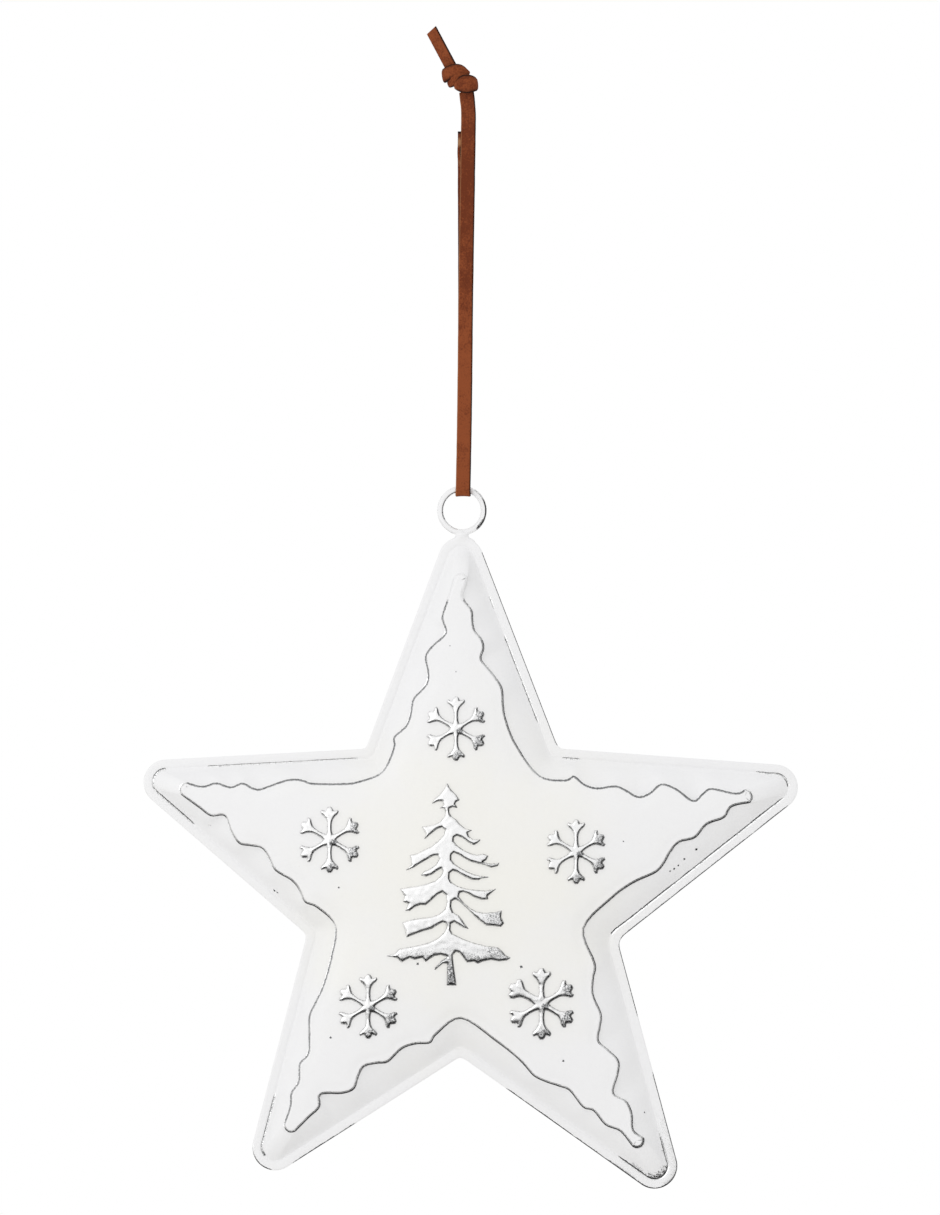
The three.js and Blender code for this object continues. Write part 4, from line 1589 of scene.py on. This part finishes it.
class SlitLeg(LaceLeg):
    """The rear leg, whose square end has a slit that buttons over the knot."""

    # Where the face is worn pale: (across, height, half width, half height).
    scuffs = ((-0.75, 2.15, 0.5, 0.95), (-0.62, -3.0, 0.45, 0.25))

    def shape(self, bm: Mesh) -> None:
        """Lays the strip, opens the slit in it, darkens its top end with painted shade and
        marks its scuffs.

        Args:
            bm: the mesh to fill.
        """
        super().shape(bm)
        size = self.size
        x, y, top = (float(v) / MM for v in self.route[-1])
        x += size.slit_offset
        middle = (size.slit_top + size.slit_low) / 2
        half = (size.slit_top - size.slit_low) / 2
        levels = [middle + half * share for share in (-0.9, -0.65, -0.35, 0.0, 0.35, 0.65, 0.9)]
        levels += [size.slit_top + up for up in (0.3, 0.65, 1.0, 1.4)] + [top - 0.9, top - 0.4]
        for z in levels:
            self.cut(bm, list(bm.faces), (0, 0, z), (0, 0, 1))
        for offset in (-0.05, 0.05):
            near = [f for f in bm.faces if abs(f.calc_center_median().z / MM - middle) < half * 1.6]
            self.cut(bm, near, (x + offset, 0, 0), (1, 0, 0))
        inside = [
            f for f in bm.faces
            if abs(f.calc_center_median().x / MM - x) < 0.05
            and abs(f.calc_center_median().z / MM - middle) < half * 0.9
            and abs(f.normal.y) > 0.5
        ]
        bmesh.ops.delete(bm, geom=inside, context="FACES")
        walls = bmesh.ops.bridge_loops(bm, edges=[e for e in bm.edges if e.is_boundary])["faces"]
        for face in walls:
            face.material_index = 1
        lean = math.radians(size.lean)
        edge, raw_and_highlight = (bm.verts.layers.float[name] for name in self.masks)
        for vert in bm.verts:
            away = vert.co.x / MM - x
            share = (vert.co.z / MM - middle) / half
            depth = math.sin(lean) * away + math.cos(lean) * (vert.co.y / MM - y)
            front = min(max(0.5 - depth / size.thickness, 0.0), 1.0)
            # Painted shade: the leg's top end is darkened with the edge colour.
            vert[edge] = max(vert[edge], (vert.co.z / MM - top + 0.9) / 0.5)
            for across, high, wide, tall in self.scuffs:
                far = math.hypot((vert.co.x / MM - across) / wide, (vert.co.z / MM - high) / tall)
                vert[raw_and_highlight] = max(vert[raw_and_highlight], min(1.6 - far, 1.0) * front)
            if abs(share) < 1:
                gape = size.slit_gape * (1 - share**2) * (0.15 + 0.85 * front)
                vert.co.x += math.copysign(gape * math.exp(-abs(away) / 0.9), away) * MM
        bmesh.ops.recalc_face_normals(bm, faces=bm.faces)

    @staticmethod
    def cut(bm: Mesh, faces: Sequence, place: tuple, normal: tuple) -> None:
        """Cuts faces along a plane.

        Args:
            bm: the mesh.
            faces: the faces to cut.
            place: a point of the plane, in millimetres.
            normal: the plane's normal.
        """
        edges = {e for f in faces for e in f.edges}
        verts = {v for f in faces for v in f.verts}
        plane = [v * MM for v in place]
        bmesh.ops.bisect_plane(
            bm, geom=[*faces, *edges, *verts], plane_co=plane, plane_no=normal, dist=1e-7
        )


@dataclass(frozen=True)
class Turn:
    """One turn of the lace in the knot, in millimetres about its own middle."""

    at: tuple[float, float, float]
    lean: float
    half_width: float
    half_depth: float
    width: float
    bow: float
    pinch: tuple[float, float]


class Knot(Piece):
    """The overhand knot at the top of the front leg, with its slanting tail."""

    masks = ("edge", "raw_and_highlight")
    smooth_angle = 50.0
    turns = (
        Turn((-1.6, 0.0, 20.15), 9, 2.8, 1.4, 3.5, 1.05, (0.0, 0.72)),
        Turn((-0.8, 0.1, 18.5), 20, 2.25, 1.5, 3.6, 0.7, (0.45, 0.15)),
        Turn((1.1, -1.6, 17.25), 5, 2.25, 1.3, 5.0, 0.25, (0.6, 0.32)),
    )
    tail_root = (-1.4, -0.1, 19.3)
    tail_twist = -0.8
    cup = 0.2
    # Wider dark edges on the wraps: painted shade in the creases between them.
    dark_edge = 0.28

    def __init__(self, size: LaceSize, material: Material) -> None:
        """Takes the lace's sizes."""
        super().__init__("knot_wraps", "lace", "lace", [material])
        self.size = size

    @staticmethod
    def leaning(degrees: float) -> tuple[Vector, Vector]:
        """The ways up and across for something in the picture's plane that leans to the left."""
        lean = math.radians(degrees)
        up = Vector((-math.sin(lean), 0, math.cos(lean)))
        return up, Vector((math.cos(lean), 0, math.sin(lean)))

    def wrap(self, turn: Turn) -> Ribbon:
        """The strip of one turn round the knot.

        Args:
            turn: the turn's sizes.

        Returns:
            The strip.
        """
        axis, across = self.leaning(turn.lean)
        grow = self.size.thickness / 2
        route = [
            (Vector(turn.at) + across * (turn.half_width + grow) * math.cos(a)
             + Vector((0, 1, 0)) * (turn.half_depth + grow) * math.sin(a)
             + axis * turn.bow * math.sin(a) ** 2) * MM
            for a in np.linspace(0, 2 * np.pi, 48, endpoint=False)
        ]
        widths = np.tile(np.array(axis), (len(route), 1))
        return Ribbon(
            np.array(route), widths, turn.width, self.size.thickness, True,
            turn.pinch, self.cup, self.dark_edge,
        )

    def tail(self) -> bpy.types.Mesh:
        """The tail, cut off askew at its end.

        Returns:
            Its mesh.
        """
        size = self.size
        along, across = self.leaning(size.tail_lean)
        steps = np.linspace(0, size.tail_length + size.tail_width, 24)
        route = np.array([(Vector(self.tail_root) + along * float(s)) * MM for s in steps])
        twisted = (across + Vector((0, self.tail_twist, 0))).normalized()
        widths = np.tile(np.array(twisted), (len(route), 1))
        bm = bmesh.new()
        bm.verts.layers.float.new("edge")
        Ribbon(route, widths, size.tail_width, size.thickness).shape(bm, 9.0)
        end = (Vector(self.tail_root) + along * size.tail_length) * MM
        normal, _ = self.leaning(size.tail_lean + size.tail_cut)
        geometry = [*bm.verts, *bm.edges, *bm.faces]
        bmesh.ops.bisect_plane(bm, geom=geometry, plane_co=end, plane_no=normal, clear_outer=True)
        bmesh.ops.holes_fill(bm, edges=[e for e in bm.edges if e.is_boundary])
        made = bpy.data.meshes.new("tail")
        bm.to_mesh(made)
        bm.free()
        return made

    def shape(self, bm: Mesh) -> None:
        """Winds the turns and adds the tail.

        Args:
            bm: the mesh to fill.
        """
        for k, turn in enumerate(self.turns):
            self.wrap(turn).shape(bm, 5.0 + k)
        tail = self.tail()
        bm.from_mesh(tail)
        bpy.data.meshes.remove(tail)


# The studio


@dataclass(frozen=True)
class Lamp:
    """A soft lamp that faces the star."""

    name: str
    place: tuple[float, float, float]
    side: float
    watts: float


@dataclass(frozen=True)
class Studio:
    """A white surround with a soft lamp, and dark cards that draw the metal's edges."""

    aim: tuple[float, float, float] = (0.00214, 0.0, -0.12215)
    distance: float = 3.2439
    lens: float = 360.0
    surround: float = 0.87
    floor_z: float = -0.4
    lamp: Lamp = Lamp("key", (-0.55, -0.98, 0.02), 0.5, 1.8)

    def camera(self) -> None:
        """Looks straight at the star's face from far off."""
        data = bpy.data.cameras.new("camera")
        data.lens = self.lens
        made = put("camera", data)
        made.location = (self.aim[0], -self.distance, self.aim[2])
        made.rotation_euler = (math.pi / 2, 0, 0)
        bpy.context.scene.camera = made

    def world(self) -> None:
        """White where the camera and reflections look, and softer where it lights."""
        world = bpy.data.worlds.new("surround")
        bpy.context.scene.world = world
        nodes = Nodes(world, "ShaderNodeOutputWorld")
        rays = nodes.add("ShaderNodeLightPath").outputs
        seen = nodes.math("MAXIMUM", rays["Is Camera Ray"], rays["Is Glossy Ray"])
        seen = nodes.math("MAXIMUM", seen, rays["Is Transmission Ray"])
        soft, white = (
            nodes.add("ShaderNodeBackground", {"Color": (1, 1, 1, 1), "Strength": strength})
            for strength in (self.surround, 1.0)
        )
        inputs = {0: seen, 1: soft.outputs[0], 2: white.outputs[0]}
        nodes.finish(nodes.add("ShaderNodeMixShader", inputs))

    def plane(self, name: str, size: tuple[float, float], colour: str) -> bpy.types.Object:
        """A flat sheet of one colour that isn't part of the object.

        Args:
            name: the sheet's name.
            size: its width and length in metres.
            colour: its sRGB hex colour.

        Returns:
            The sheet.
        """
        bm = bmesh.new()
        bmesh.ops.create_grid(bm, x_segments=1, y_segments=1, size=0.5)
        bmesh.ops.scale(bm, vec=(*size, 1), verts=bm.verts)
        mesh = bpy.data.meshes.new(name)
        bm.to_mesh(mesh)
        bm.free()
        nodes = Nodes.of_material(name)
        inputs = {"Base Color": linear(colour), "Roughness": 0.8}
        mesh.materials.append(nodes.finish(nodes.add("ShaderNodeBsdfPrincipled", inputs)))
        made = put(name, mesh)
        return made

    def build(self) -> None:
        """Sets up the camera, the surround, the floor, the cards and the lamp."""
        self.camera()
        self.world()
        floor = self.plane("floor", (1.5, 1.5), "#f4f3f1")
        floor.location = (0, 0, self.floor_z)
        for name, place, turn in (
            ("card_right", (0.42, -0.15, -0.2), (0, math.radians(90), 0)),
            ("card_low", (0.0, -0.2, -0.39), (0, 0, 0)),
        ):
            card = self.plane(name, (0.7, 0.8), "#080808")
            card.location = place
            card.rotation_euler = turn
            card.visible_camera = card.visible_diffuse = card.visible_shadow = False
        data = bpy.data.lights.new(self.lamp.name, "AREA")
        data.size = self.lamp.side
        data.energy = self.lamp.watts
        made = put(self.lamp.name, data)
        made.location = self.lamp.place
        aim = Vector((0, 0, StarSize.centre_z * MM)) - Vector(self.lamp.place)
        made.rotation_euler = aim.to_track_quat("-Z", "Y").to_euler()
        bpy.context.scene.view_settings.view_transform = "Standard"


def dress_star(finish: Material, tin: Material) -> None:
    """Builds the star's two halves and the motifs on its face.

    Args:
        finish: the worn whitewash.
        tin: the bare tin.
    """
    plan = StarPlan(StarSize())
    front = StarHalf("star_front", plan, -1, finish).build(["front_shell"])
    StarHalf("star_back", plan, 1, finish).build(["back_shell"])
    mesh = front.data
    face = BVHTree.FromPolygons([v.co for v in mesh.vertices], [p.vertices for p in mesh.polygons])
    Chips(face, tin).build()
    Motif("fir_tree", FirTree(), face, tin).build()
    for name, spot in SNOWFLAKES.items():
        Motif(f"snowflake_{name}", Snowflake(*spot), face, tin).build()


def dress_lace(leather: LaceLeather) -> None:
    """Builds the lace: its knot and its two free legs.

    Args:
        leather: the lace's finish.
    """
    size = LaceSize()
    grain = leather.material("lace leather")
    cut = leather.cut("cut leather")
    knot = Knot(size, grain).build(["lace_knot"])
    knot_leg = LaceLeg("knot_leg", size, -1, KNOT_LEG_ROUTE, [grain])
    slit_leg = SlitLeg("slit_leg", size, 1, SLIT_LEG_ROUTE, [grain, cut])
    log.info("legs: %.4f and %.4f m", knot_leg.length(), slit_leg.length())
    knot_leg.build(["lace_knot_leg"])
    slit_leg.build(["lace_slit_leg"])
    slit_leg.path()


def main() -> None:
    """Builds the whole picture."""
    logging.basicConfig(level=logging.INFO, format="%(message)s")
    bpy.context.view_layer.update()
    Studio().build()
    tin = BareTin()
    star_paint = worn_and_shaded_paint("worn and shaded whitewash", Whitewash(), tin, 0.8)
    wire_paint = worn_and_shaded_paint("painted wire", Whitewash(), tin, 0.15)
    dress_star(star_paint, bare_tin("bare tin", tin))
    WireRing(RingSize(), wire_paint).build(["hanging_ring"])
    Solder(RingSize(), wire_paint).build(["ring_solder"])
    dress_lace(LaceLeather())


if __name__ == "__main__":
    main()
